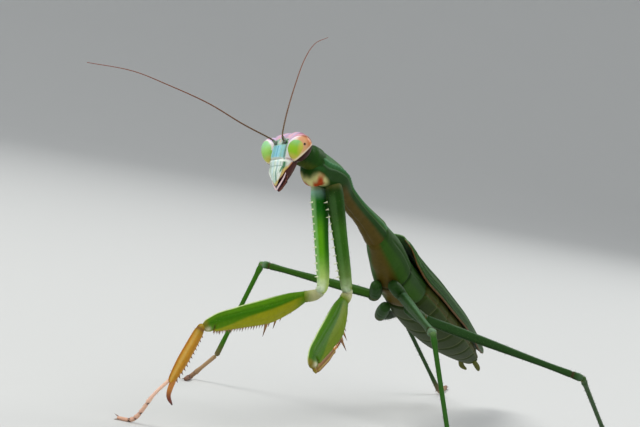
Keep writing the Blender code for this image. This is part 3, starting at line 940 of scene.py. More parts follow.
class Bristles(Grower):
    """Short hairs that stand on a surface at seeded places and lean back."""

    title = "fine_bristles"
    patch = 0.0015
    wants = (
        ("Density", Socket.NUMBER),
        ("Length", Socket.NUMBER),
        ("Girth", Socket.NUMBER),
        ("Seed", Socket.COUNT),
        ("Root Tint", Socket.COLOUR),
        ("Material", Socket.MATERIAL),
    )

    def grow(self, nodes: Nodes, given: dict[str, Signal]) -> Signal:
        """Scatters points over the guide and stands a thin cone on each.

        Args:
            nodes: the tree that the nodes go into.
            given: the tree's inputs by name.

        Returns:
            The geometry.
        """
        scatter = nodes.tree.nodes.new("GeometryNodeDistributePointsOnFaces")
        for name, wanted in (("Mesh", "Geometry"), ("Density", "Density"), ("Seed", "Seed")):
            nodes.tree.links.new(given[wanted].socket, scatter.inputs[name])
        points, normal = Signal(nodes, scatter.outputs["Points"]), Signal(nodes, scatter.outputs["Normal"])
        cone = nodes.store(nodes.cone(4, 1, 0.1), "tint", given["Root Tint"])
        cone = nodes.store(cone, "tuft", nodes.add("GeometryNodeInputPosition"), "FLOAT_VECTOR")
        jitter = nodes.add(
            "FunctionNodeRandomValue",
            {"data_type": "FLOAT_VECTOR"},
            {0: (-0.7, -0.7, -0.7), 1: (0.7, 0.7, 0.7), "Seed": given["Seed"]},
        )
        aim = nodes.add("ShaderNodeVectorMath", {"operation": "ADD"}, {0: normal, 1: jitter})
        turn = nodes.add("FunctionNodeAlignRotationToVector", {"axis": "Z"}, {"Vector": aim})
        vary = nodes.add(
            "FunctionNodeRandomValue", {"data_type": "FLOAT"}, {2: 0.55, 3: 1.15, "Seed": given["Seed"]}, out=1
        )
        hairs = nodes.stood(points, cone, turn, given["Girth"], given["Length"] * vary)
        hairs = nodes.add("GeometryNodeRealizeInstances", {}, {"Geometry": hairs})
        # each hair is a small patch at its root's place on the skin's own unwrap
        root, tuft = nodes.named("unwrap"), nodes.named("tuft")
        spread = nodes.add("ShaderNodeVectorMath", {"operation": "SCALE"}, {0: tuft, "Scale": self.patch})
        chart = nodes.add("ShaderNodeVectorMath", {"operation": "ADD"}, {0: root, 1: spread})
        return nodes.store(hairs, "OFBake", chart, "FLOAT2", "CORNER")

    def cover(
        self, body: bpy.types.Object, name: str, slot: str, density: float, length: float, seed: int, colour: Array
    ) -> None:
        """Covers a piece with hairs.

        Args:
            body: the piece that the hairs stand on.
            name: the node that it stands for.
            slot: the hairs' slot.
            density: hairs to a square millimetre.
            length: their length in millimetres.
            seed: the scatter's seed.
            colour: their linear colour.
        """
        hairs = self.run(
            placed("hairs_" + name, body.data.copy()),
            Coat.HAIR,
            Density=density / MM**2,
            Length=length * MM,
            Girth=0.0125 * MM,
            Seed=seed,
            Root_Tint=(*colour, 1),
        )
        for spare in ("unwrap", "tuft"):
            hairs.data.attributes.remove(hairs.data.attributes[spare])
        settle(hairs, slot)


@dataclass
class SpineBed:
    """The feet, aims and girths of spines, gathered before they are grown."""

    feet: list[Array] = field(default_factory=list)
    aims: list[Array] = field(default_factory=list)
    leans: list[Array] = field(default_factory=list)
    girths: list[float] = field(default_factory=list)

    def plant(self, foot: Array, aim: Array, lean: Array, girth: float) -> None:
        """Adds one spine, in millimetres.

        Args:
            foot: where the spine stands.
            aim: its direction and its length.
            lean: the side to which it bends.
            girth: its radius at the foot.
        """
        self.feet.append(foot)
        self.aims.append(aim)
        self.leans.append(lean)
        self.girths.append(girth)

    def grow(
        self, name: str, tree: Spines, root: Array, tip: Array, bend: float = 0.9, start: float = 0.5
    ) -> bpy.types.Object:
        """Grows the whole bed as one mesh.

        Args:
            name: the object's name.
            tree: the tree that grows spines.
            root: the colour at the foot.
            tip: the colour at the point.
            bend: how far the spines bend.
            start: where the tip's colour starts.

        Returns:
            The object.
        """
        guide = new_piece(name, np.array(self.feet), [])
        for title, rows in (("aim", self.aims), ("lean", self.leans), ("girth", self.girths)):
            kind = "FLOAT" if title == "girth" else "FLOAT_VECTOR"
            written(guide.data, title, kind, np.array(rows) * MM)
        return tree.run(guide, Coat.SPINE, Bend=bend, Root_Tint=(*root, 1), Tip_Tint=(*tip, 1), Tip_Start=start)


def line_guide(name: str, lines: Sequence[Array], girths: Sequence[Array] | None = None) -> bpy.types.Object:
    """A mesh of edges along lines of points, with a girth in millimetres at each point.

    Args:
        name: the object's name.
        lines: rows of points in millimetres.
        girths: the radius at each point.

    Returns:
        The object.
    """
    points = np.concatenate(lines)
    edges: list[tuple[int, int]] = []
    start = 0
    for row in lines:
        edges += [(start + i, start + i + 1) for i in range(len(row) - 1)]
        start += len(row)
    mesh = bpy.data.meshes.new(name)
    mesh.from_pydata(((points + SHIFT) * MM).tolist(), edges, [])
    if girths is not None:
        written(mesh, "girth", "FLOAT", np.concatenate(girths) * MM)
    return placed(name, mesh)


@dataclass(frozen=True)
class Growers:
    """The geometry trees, built once."""

    thread: Thread
    veins: Veins
    spines: Spines
    bristles: Bristles


# ------------------------------------------------------------------ the shared skeleton

PROTHORAX = Axes.turned((0, 0, 27.4), -96.0, 22.1, 10.0)
HIND_BODY = Axes.turned((0, 0, 27.4), 90.2, -20.1, -7.0)
HEAD = Axes.turned((-4.2, -28.0, 35.7), -111.1, 14.3, 14.4)


def square_to(along: Array, towards: Array) -> Array:
    """The direction square to a limb in which the next one folds."""
    return unit(towards - along * float(towards @ along))


def sine_between(first: Array, second: Array) -> float:
    """The sine of the angle between two directions."""
    return float(np.linalg.norm(np.cross(unit(first), unit(second))))


def trimmed(start: Array, end: Array, off_start: float, off_end: float) -> tuple[Array, Array]:
    """The two ends of a stretch, each moved inwards along it."""
    along = unit(end - start)
    return start + along * off_start, end - along * off_end


@dataclass(frozen=True)
class Limb:
    """A limb's shape: a line, its radius along it and its width over its height."""

    line: Line
    radius: Contour
    flat: float = 1.0
    blunt: float = 0.7
    lift: Contour | None = None
    ridge: float = 0.0
    edge: float = 0.0
    back: Contour | None = None

    def place(self, t: Array, a: Array) -> Array:
        """The points of the limb's surface at t and an angle.

        Args:
            t: places along the length, from 0 to 1.
            a: angles round the section.

        Returns:
            The points.
        """
        centre, left, up = self.line.at(t)
        radius = self.radius(t) * (1 + self.ridge * np.cos(4 * (a - math.pi / 4)))
        radius = radius * opened(np.minimum(t, 1 - t) * self.line.length, self.radius(t) * self.blunt)
        rise = self.lift(t) if self.lift else np.zeros_like(t)
        pinch = 1 - self.edge * np.abs(np.sin(a)) ** 3
        across = radius * self.flat * np.cos(a) * pinch
        tall = radius * np.sin(a)
        if self.back:
            tall = tall * np.where(np.sin(a) > 0, self.back(t), 1.0)
        return centre + left * across[..., None] + up * (tall + rise)[..., None]

    def skin(self, rings: int, sides: int) -> Skin:
        """The limb as a swept surface."""
        return sweep(self.place, rings, sides)


def bead(name: str, axes: Axes, radii: tuple[float, float, float], colour: Array, finish: Finish) -> bpy.types.Object:
    """A small rounded knob.

    Args:
        name: the object's name.
        axes: where it sits and how it is turned.
        radii: its half sizes ahead, to the left and up.
        colour: its linear colour.
        finish: its finish.

    Returns:
        The object.
    """

    def place(t: Array, a: Array) -> Array:
        """The surface's points at t and an angle.

        Args:
            t: places along the length, from 0 to 1.
            a: angles round the section.

        Returns:
            The points.
        """
        polar = math.pi * t
        ring = np.sin(polar)
        return axes.at(radii[0] * ring * np.sin(a), radii[1] * ring * np.cos(a), radii[2] * np.cos(polar))

    surface = sweep(place, 14, 20, even=1.0)
    return dress(name, surface, np.broadcast_to(colour, surface.points.shape), finish)


def hoop(name: str, axes: Axes, radius: float, girth: float, colour: Array, finish: Finish) -> bpy.types.Object:
    """A small ring that lies square to an axes' forward direction.

    Args:
        name: the object's name.
        axes: where it sits and how it is turned.
        radius: the radius of its middle line.
        girth: half its thickness.
        colour: its linear colour.
        finish: its finish.

    Returns:
        The object.
    """
    count, sides = 28, 10
    turn = np.linspace(0, 2 * math.pi, count, endpoint=False)
    tube = np.linspace(0, 2 * math.pi, sides, endpoint=False)
    big, small = np.meshgrid(turn, tube, indexing="ij")
    out = radius + girth * np.cos(small)
    points = axes.at(girth * np.sin(small), out * np.cos(big), out * np.sin(big)).reshape(-1, 3)
    faces = [tuple(corner % len(points) for corner in face) for face in quads(count + 1, sides)]
    piece = new_piece(name, points, faces, np.broadcast_to(colour, points.shape))
    face_outwards(piece)
    piece.data.materials.append(finish.material())
    return piece


# ------------------------------------------------------------------ the head


@dataclass
class Head:
    """The head capsule with its face plates, mouth, simple eyes and feelers of the mouth."""

    top: float = 2.35
    foot: float = -4.3
    mouth_tip: float = -5.5
    widths: Contour = Contour(
        (-4.3, 0.42), (-3.2, 1.12), (-2.4, 1.5), (-1.2, 1.85), (0.2, 2.35), (1.4, 2.45), (2.35, 2.0)
    )
    fronts: Contour = Contour((-4.3, 0.85), (-3.2, 1.22), (-1.6, 1.5), (0, 1.35), (1.4, 0.8), (2.35, -0.1))
    backs: Contour = Contour((-4.3, -0.7), (-3.2, -1.05), (-1.0, -1.45), (0.8, -1.6), (2.35, -0.85))

    def capsule(self) -> bpy.types.Object:
        """The capsule with its frontal shield, grooves, antennal pits and colours.

        Returns:
            The object.
        """
        height = self.top - self.foot
        crown = Contour((0, 2.3), (1.0, 2.42), (1.8, 2.52), (2.5, 2.45))

        def place(t: Array, a: Array) -> Array:
            """The surface's points at t and an angle.

            Args:
                t: places along the length, from 0 to 1.
                a: angles round the section.

            Returns:
                The points.
            """
            level = 1 - t
            x = np.sign(np.cos(a)) * np.abs(np.cos(a)) ** 0.9
            up = self.foot + height * level
            wide = self.widths(up) * x
            dip = (self.top - crown(np.abs(wide))) * ease(0.6, self.top, up)
            open_at = np.minimum(opened(level * height, 0.5), opened((1 - level) * height, 0.55))
            front, back = self.fronts(up), self.backs(up)
            depth = (front - back) / 2 * open_at
            sine = np.sign(np.sin(a)) * np.abs(np.sin(a)) ** 0.85
            return HEAD.at((front + back) / 2 + depth * sine, wide * open_at, up - dip)

        surface = sweep(place, 150, 200, even=0.8)
        d, x, u = HEAD.local(surface.points)
        front = ease(0.2, 0.9, d)
        shield = ease(0.92, 0.8, np.abs(x)) * ease(-1.74, -1.62, u) * ease(0.12, -0.1, u) * front
        rise = 0.13 * shield + 0.12 * shield * np.maximum(0, 1 - (x / 0.84) ** 2)
        for groove in (-0.42, -0.15, 0.15, 0.42):
            rise = rise - 0.035 * bump(groove, 0.05, x) * shield
        rise = rise - 0.12 * ease(0.88, 1.05, np.abs(x)) * ease(-1.9, -1.3, u) * ease(1.0, 0.3, u) * front
        rise = rise - 0.09 * bump(-1.72, 0.06, u) * ease(1.35, 1.1, np.abs(x)) * front
        lip = ease(-1.85, -2.05, u) * ease(1.25, 0.9, np.abs(x) / self._half(u) * 1.1) * front
        rise = rise + 0.07 * lip + 0.05 * lip * bump(0, 0.16, x)
        pit = np.hypot(np.abs(x) - 0.76, u - 0.5)
        rise = rise - 0.16 * ease(0.3, 0.15, pit) * front + 0.05 * bump(0.37, 0.08, pit) * front
        rise = rise + 0.1 * bump(0, 0.6, np.hypot(x, u - 0.95)) * front
        for furrow in (-1.05, -0.35, 0.35, 1.05):
            rise = rise - 0.045 * bump(furrow, 0.07, x) * ease(1.2, 1.7, u)
        surface = surface.raised(rise)
        return dress("head_capsule", surface, self._paint(x, u, d), Coat.FACE)

    def _half(self, up: Array) -> Array:
        """Half the width of the lower face at a height."""
        return Contour((-5.6, 0.05), (-5.0, 0.22), (-4.2, 0.66), (-3.2, 1.12), (-1.7, 1.5), (0, 2.2))(up)

    def _seam(self, up: Array) -> Array:
        """How far ahead the dark cheek, painted shade over reddish-brown, ends at a height."""
        return -0.42 - 0.345 * np.maximum(up, -3.1)

    def _paint(self, x: Array, u: Array, d: Array) -> Array:
        """The face's colours by place.

        Args:
            x: how far to the left.
            u: how far up.
            d: how far ahead.

        Returns:
            The colours.
        """
        side = np.abs(x)
        base = np.broadcast_to(Dye.PALE, x.shape + (3,))
        base = over(base, dye(150, 186, 168), ease(0.5, -0.6, u))
        crown = ease(0.35, 1.0, u)
        base = over(base, Dye.LILAC, crown)
        base = over(base, dye(222, 170, 184), crown * bump(0.9, 0.45, side) * 0.8)
        base = over(base, dye(150, 96, 120), crown * ease(1.3, 2.2, x) * ease(1.4, 1.9, u))
        shield = ease(1.0, 0.9, side) * ease(-1.8, -1.62, u) * ease(0.25, 0.0, u)
        base = over(base, Dye.SKY, shield)
        for place, width, deep in ((-0.15, 0.09, 0.75), (0.18, 0.12, 0.9), (0.46, 0.06, 0.6), (-0.5, 0.07, 0.6)):
            base = over(base, Dye.BLUE, shield * bump(place, width, x) * deep)
        base = over(base, Dye.TEAL, shield * bump(-0.33, 0.1, x) * 0.7)
        base = over(base, Dye.TEAL, shield * bump(0.68, 0.12, x) * 0.8)
        gap = ease(-2.2, -1.9, u) * ease(0.6, 0.3, u)
        base = layered(
            base,
            ((206, 202, 206), ease(1.16, 1.26, side) * gap),
            # dark teal: painted shade in the recess between the shield and the eye
            ((58, 92, 90), bump(1.06, 0.1, side) * gap * 0.85),
            ((130, 96, 96), bump(-1.62, 0.13, u) * ease(1.15, 1.35, side) * ease(2.1, 1.9, side) * 0.7),
        )
        base = over(base, Dye.WHITE, bump(-1.72, 0.12, u) * ease(1.2, 0.9, side))
        base = self._brow(base, x, u)
        base = self._lower_face(base, x, u, d)
        # painted shade: dark maroon over the back of the head and over the cheek, on their reddish-brown
        back = ease(0.0, -0.35, d) * ease(2.1, 1.5, u)
        cheek = ease(0.04, -0.04, d - self._seam(u)) * ease(-0.5, -0.9, u)
        base = over(base, Dye.MAROON, np.maximum(back, cheek))
        return over(base, dye(60, 84, 30), ease(-0.5, -1.1, d) * bump(0, 1.1, x) * 0.8)

    def _brow(self, base: Array, x: Array, u: Array) -> Array:
        """The band with the antennal pits and the simple eyes.

        Args:
            base: the colours so far.
            x: how far to the left.
            u: how far up.

        Returns:
            The colours.
        """
        side = np.abs(x)
        band = ease(-0.02, 0.2, u) * ease(1.25, 0.95, u) * ease(1.2, 1.0, side)
        base = over(base, dye(140, 186, 172), band * 0.8)
        pit = np.hypot(side - 0.76, u - 0.5)
        base = over(base, dye(88, 150, 54), bump(0, 0.34, pit) * band)
        base = over(base, Dye.BLACKISH, ease(0.2, 0.1, pit))
        for place, level in ((1.06, 0.42), (0.98, 0.86), (0.46, 0.28), (0.34, 1.02)):
            base = over(base, dye(34, 46, 44), ease(0.15, 0.06, np.hypot(side - place, u - level)) * 0.9)
        base = over(base, dye(48, 88, 84), bump(0.2, 0.16, x) * bump(1.0, 0.16, u) * 0.8)
        return over(base, dye(224, 196, 206), bump(0, 0.24, np.hypot(x, u - 0.62)) * 0.9)

    def _lower_face(self, base: Array, x: Array, u: Array, d: Array) -> Array:
        """The clypeus and lip: pale with green streaks, cream at their edges.

        Args:
            base: the colours so far.
            x: how far to the left.
            u: how far up.
            d: how far ahead.

        Returns:
            The colours.
        """
        low = ease(-1.78, -1.9, u)
        q = x / self._half(u)
        ahead = d - self._seam(u)
        base = over(base, Dye.WHITE, low)
        base = over(base, dye(168, 208, 214), low * bump(-0.25, 0.18, q) * 0.7)
        base = over(base, dye(168, 208, 214), low * bump(0.28, 0.12, q) * 0.7)
        streak = low * ease(-1.9, -2.2, u)
        for place in (-0.52, 0.55):
            base = over(base, dye(116, 168, 150), streak * bump(place, 0.07, q) * 0.6)
        middle = bump(0.28, 0.09, x) * ease(-4.9, -4.5, u) * ease(-2.1, -3.4, u)
        base = over(base, dye(38, 104, 58), streak * middle * 0.85)
        base = over(base, dye(150, 190, 150), streak * bump(0.0, 0.1, x) * 0.6)
        for place, deep in ((0.84, 1.0), (-0.7, 0.5)):
            base = over(base, dye(28, 110, 58), streak * bump(place, 0.13, q) * ease(-3.75, -3.3, u) * deep)
        base = layered(
            base,
            ((214, 196, 120), low * ease(0.45, 0.25, ahead) * ease(-2.2, -2.7, u)),
            ((196, 164, 158), low * ease(0.3, 0.15, ahead) * ease(-2.7, -2.2, u)),
            ((198, 138, 62), low * ease(0.12, 0.05, ahead) * ease(-3.9, -3.1, u)),
            ((198, 146, 130), low * ease(0.12, 0.05, ahead) * ease(-3.3, -4.0, u)),
        )
        seam = bump(-2.62, 0.05, u) * ease(0.9, 0.7, np.abs(q))
        return over(base, dye(120, 150, 140), seam * 0.8)

    def mouth(self) -> list[bpy.types.Object]:
        """The wedge below the face with the lip before it and its pale rim.

        Returns:
            The objects.
        """

        def jaw(t: Array, a: Array) -> Array:
            """The surface's points at t and an angle.

            Args:
                t: places along the length, from 0 to 1.
                a: angles round the section.

            Returns:
                The points.
            """
            level = 1 - t
            top = self.foot + 0.35
            up = self.mouth_tip + (top - self.mouth_tip) * level
            open_at = np.minimum(opened(level * 2.4, 0.9), opened((1 - level) * 2.4, 0.25))
            wide, deep = (0.07 + 0.9 * level) * open_at, 0.34 + 0.26 * level
            return HEAD.at(0.4 - deep + deep * open_at * np.sin(a), wide * np.cos(a), up)

        wedge = sweep(jaw, 60, 72)
        d, x, u = HEAD.local(wedge.points)
        rise = -0.1 * bump(0, 0.05, np.abs(x) - 0.28) * ease(0.1, 0.5, d)
        wedge = wedge.raised(rise)
        tint = layered(
            np.broadcast_to(dye(66, 18, 16), x.shape + (3,)),
            ((130, 70, 46), bump(-0.1, 0.16, d) * ease(-4.2, -5.0, u) * 0.6),
            ((40, 12, 34), ease(0.0, 0.35, d)),
        )
        pieces = [dress("mouth_wedge", wedge, tint, Coat.MOUTH), self._lip()]
        for side in Side:
            pieces.append(self._rim(side))
        return pieces

    def _lip(self) -> bpy.types.Object:
        """The upper lip, a pale tongue-shaped plate with a ridge.

        Returns:
            The object.
        """

        def place(t: Array, a: Array) -> Array:
            """The surface's points at t and an angle.

            Args:
                t: places along the length, from 0 to 1.
                a: angles round the section.

            Returns:
                The points.
            """
            up = -2.5 - 2.5 * t
            half = Contour((0, 1.1), (0.3, 1.06), (0.62, 0.72), (0.85, 0.34), (1, 0.1))(t)
            ends = opened(t * 2.5, 0.3) * opened((1 - t) * 2.5, 0.3)
            front = Contour((0, 1.3), (0.35, 1.36), (0.75, 1.1), (1, 0.8))(t)
            wide = half * ends * np.cos(a)
            ridge = 0.1 * bump(0, 0.16, wide) * ends
            return HEAD.at(front - 0.16 + 0.2 * ends * np.sin(a) + ridge, wide, up)

        surface = sweep(place, 60, 72)
        d, x, u = HEAD.local(surface.points)
        tint = self._lower_face(np.broadcast_to(Dye.WHITE, x.shape + (3,)), x, u, d)
        return dress("upper_lip", surface, tint, Coat.MOUTH)

    def _rim(self, side: Side) -> bpy.types.Object:
        """The pale blade edge of one jaw, from the cheek to the mouth's tip.

        Args:
            side: which side of the animal.

        Returns:
            The object.
        """
        points = [(0.56, 1.16, -3.3), (0.54, 0.96, -3.9), (0.52, 0.6, -4.55), (0.5, 0.26, -5.1), (0.44, 0.03, -5.46)]
        line = Line([HEAD.at(ahead, left * side.value, up) for ahead, left, up in points], HEAD.forward)
        radius = Contour((0, 0.05), (0.3, 0.1), (0.7, 0.12), (1, 0.07))
        surface = Limb(line, radius, 0.75, 1.0).skin(40, 16)
        tint = surface.plain(236, 208, 214)
        return dress("jaw_rim_" + side.word, surface, tint, Coat.MOUTH)

    def palps(self) -> list[bpy.types.Object]:
        """Two jointed feelers beside each jaw.

        Returns:
            The objects.
        """
        pieces = []
        routes = (
            ("outer", ((0.0, 0.85, -3.3), (0.05, 1.0, -3.9), (0.12, 0.82, -4.5), (0.15, 0.5, -4.95))),
            ("inner", ((-0.15, 0.45, -3.6), (-0.2, 0.5, -4.2), (-0.1, 0.3, -4.75))),
        )
        for side in Side:
            for name, route in routes:
                line = Line([HEAD.at(ahead, left * side.value, up) for ahead, left, up in route], HEAD.forward)
                surface = Limb(line, Contour((0, 0.13), (0.6, 0.12), (1, 0.08)), 1.0, 0.9).skin(48, 12)
                joints = sum(bump(place, 0.025, surface.t) for place in (0.22, 0.48, 0.74))
                surface = surface.raised(-0.035 * joints)
                tint = surface.plain(84, 34, 26)
                tint = over(tint, dye(130, 80, 50), joints * 0.8)
                pieces.append(dress("palp_{}_{}".format(name, side.word), surface, tint, Coat.MOUTH))
        return pieces

    def ocelli(self) -> list[bpy.types.Object]:
        """The three simple eyes on the brow.

        Returns:
            The objects.
        """
        places = (("middle", 1.2, 0.0, 0.72), ("left", 1.02, 0.36, 1.08), ("right", 1.02, -0.36, 1.08))
        return [
            bead("ocellus_" + name, HEAD.moved(ahead, left, up), (0.1, 0.13, 0.11), Dye.CREAM, Coat.EYE)
            for name, ahead, left, up in places
        ]

    def build(self) -> None:
        """Makes the head's pieces and hangs them on the frame."""
        settle(self.capsule(), "head_green", "head")
        settle(joined("mouth_parts", self.mouth() + self.palps()), "mouth_cream", "mouthparts")
        settle(joined("simple_eyes", self.ocelli()), "head_green")


@dataclass
class Eyes:
    """The two large faceted eyes."""

    spread: float = 2.2
    radii: tuple[float, float, float] = (1.42, 1.4, 1.78)
    lean: float = 14.0
    taper: float = 0.12
    # how far the lime window reaches from its middle in each direction, in degrees
    window: Contour = Contour(
        (-180, 46), (-157, 53), (-138, 54), (-110, 49), (-66, 43), (-23, 42), (-2, 43), (17, 48), (37, 48),
        (67, 43), (98, 38), (134, 37), (160, 41), (180, 44)
    )

    def build(self) -> None:
        """Makes both eyes."""
        for side in Side:
            settle(self._eye(side), "eye_green", "eye_" + side.word)

    def _eye(self, side: Side) -> bpy.types.Object:
        """An egg that stands on its narrow end and leans out at the top.

        Args:
            side: which side of the animal.

        Returns:
            The object.
        """
        wide, deep, tall = self.radii
        lean = math.radians(self.lean) * side.value

        def place(t: Array, a: Array) -> Array:
            """The surface's points at t and an angle.

            Args:
                t: places along the length, from 0 to 1.
                a: angles round the section.

            Returns:
                The points.
            """
            polar = math.pi * t
            ring = np.sin(polar) * (1 + self.taper * np.cos(polar))
            inwards = np.clip(-np.cos(a) * side.value, 0, 1)
            across, height = wide * ring * np.cos(a) * (1 + 0.14 * inwards), tall * np.cos(polar)
            out = across * math.cos(lean) + height * math.sin(lean)
            up = height * math.cos(lean) - across * math.sin(lean)
            ahead = deep * ring * np.sin(a) * (1 + 0.08 * np.clip(np.sin(a), 0, 1))
            return HEAD.at(ahead, side.value * self.spread + out, up)

        surface = sweep(place, 120, 150, even=1.0)
        polar, a = math.pi * surface.t, surface.angle
        e = np.stack([np.sin(polar) * np.cos(a) * side.value, np.cos(polar), np.sin(polar) * np.sin(a)], axis=-1)
        return dress("compound_eye_" + side.word, surface, self._paint(e, side), Coat.EYE)

    def _paint(self, e: Array, side: Side) -> Array:
        """A lime window in a pale rim, with a lilac brow above, a tan side and a dark maroon back of painted shade.

        Args:
            e: the place on the eye's ball, given outwards, up and ahead.
            side: which eye it is.

        Returns:
            The colours.
        """
        x, u = e[..., 0], e[..., 1]
        centre = unit(np.array([0.28, -0.31, 0.91]))
        across = unit(np.cross([0.0, 1.0, 0.0], centre))
        rise = np.cross(centre, across)
        off = np.degrees(np.arccos(np.clip(e @ centre, -1, 1)))
        bearing = np.degrees(np.arctan2(e @ rise, e @ across))
        right = side is Side.RIGHT
        reach = self.window(bearing) + (18 * bump(115, 60, bearing) if right else 0)
        tint = layered(
            np.broadcast_to(dye(222, 214, 218), x.shape + (3,)),
            ((204, 150, 112), ease(-40, 0, bearing) * ease(115, 70, bearing)),
            ((190, 116, 62), ease(-20, 25, bearing) * ease(90, 60, bearing) * ease(62, 85, off)),
            ((224, 196, 118), bump(-60, 60, bearing) * bump(0, 16, off - reach - 6)),
        )
        lime, upper = (dye(156, 206, 116), dye(150, 206, 150)) if right else (Dye.EYE_GREEN, dye(132, 186, 112))
        inner = over(np.broadcast_to(lime, tint.shape), upper, ease(-0.25, 0.3, u))
        inner = layered(
            inner,
            ((142, 190, 30), bump(-0.45, 0.25, u) * (0.9 if side is Side.LEFT else 0.4)),
            ((204, 190, 80), ease(-0.45, -0.8, u) * 0.85),
            ((196, 182, 70), ease(0.5, 0.8, x) * 0.8),
        )
        window = ease(2.5, -2.5, off - reach)
        tint = tint + (inner - tint) * window[..., None]
        spot = unit(np.array([0.86, 0.26, 0.43]))
        tint = over(tint, Dye.BLACK, ease(0.12, 0.07, np.arccos(np.clip(e @ spot, -1, 1))))
        brow = e @ np.array([-0.63, 0.755, -0.186]) - (0.2 if right else 0)
        cap = over(np.broadcast_to(Dye.LILAC, tint.shape), dye(206, 150, 168), ease(-0.5, 0.0, x))
        cap = over(cap, dye(150, 84, 48), ease(0.1, 0.45, x))
        tint = over(tint, dye(236, 228, 232), bump(0.2, 0.05, brow) * ease(-0.3, 0.2, e[..., 2]) * ease(0.45, 0.1, x))
        tint = over(tint, dye(128, 70, 36), bump(0.24, 0.09, brow) * ease(0.3, 0.55, x))
        tint = tint + (cap - tint) * ease(0.235, 0.285, brow)[..., None]
        back = e @ np.array([0.394, -0.485, -0.781])
        tint = over(tint, dye(232, 220, 200), bump(0.36, 0.07, back) * 0.8)
        # painted shade: dark maroon over the eye's back, the head's shaded back carried onto the eye
        return over(tint, dye(48, 12, 10), ease(0.4, 0.44, back))


@dataclass
class Antennae:
    """The two thread-like antennae with their first two joints."""

    socket: tuple[float, float, float] = (1.45, 0.72, 0.5)
    root_radius: float = 0.105
    tip_radius: float = 0.04

    def build(self, thread: Thread) -> None:
        """Makes both antennae.

        Args:
            thread: the tree that sweeps a ringed thread.
        """
        scapes = {Side.RIGHT: (2.1, -0.85, 0.75), Side.LEFT: (1.85, 0.74, 1.0)}
        routes = {
            Side.RIGHT: (
                (-4.5, -4.1, 2.2), (-8.6, -6.0, 3.9), (-13.2, -8.3, 5.2), (-17.3, -10.6, 6.1), (-21.9, -13.5, 6.1)
            ),
            Side.LEFT: (
                (-1.4, 1.2, 4.1), (-3.3, 6.1, 7.8), (-5.3, 11.9, 11.8), (-6.4, 16.6, 14.4), (-7.1, 22.0, 15.9)
            ),
        }
        for side in Side:
            ahead, left, up = self.socket
            foot = HEAD.at(ahead - 0.3, left * side.value, up)
            points = [foot, HEAD.at(*scapes[side])] + [HEAD.origin + np.array(p) for p in routes[side]]
            line = Line(points, (0, 0, 1))
            t = np.linspace(0.012, 1, 160)
            guide = line_guide("antenna_thread_" + side.word, [line.at(t)[0]])
            whip = thread.run(
                guide,
                Coat.THREAD,
                Points=1150,
                Rings=82.0,
                Root_Radius=self.root_radius * MM,
                Tip_Radius=self.tip_radius * MM,
                Ring_Depth=0.24,
                Root_Tint=(*dye(86, 76, 44), 1),
                Tip_Tint=(*dye(136, 66, 44), 1),
            )
            ends = [line.spot(0.0)[0], line.spot(0.035)[0]]
            scape = Limb(Line(ends, HEAD.up), Contour((0, 0.15), (0.5, 0.19), (1, 0.13)), 1, 0.8).skin(24, 18)
            tint = scape.plain(150, 166, 150)
            speck = np.clip(np.sin(scape.angle * 3) * np.sin(scape.t * 16), 0, 1)
            tint = layered(tint, ((46, 62, 66), speck), ((58, 66, 58), ease(0.7, 1.0, scape.t)))
            base = dress("scape", scape, tint, Coat.THREAD)
            seat = HEAD.moved(ahead - 0.1, left * side.value, up)
            rim = hoop("socket_rim", seat, 0.22, 0.05, dye(112, 116, 118), Coat.THREAD)
            whole = joined("antenna_" + side.word + "_thread", [whip, base, rim])
            settle(whole, "antenna_brown", "antenna_" + side.word)


# ------------------------------------------------------------------ the trunk


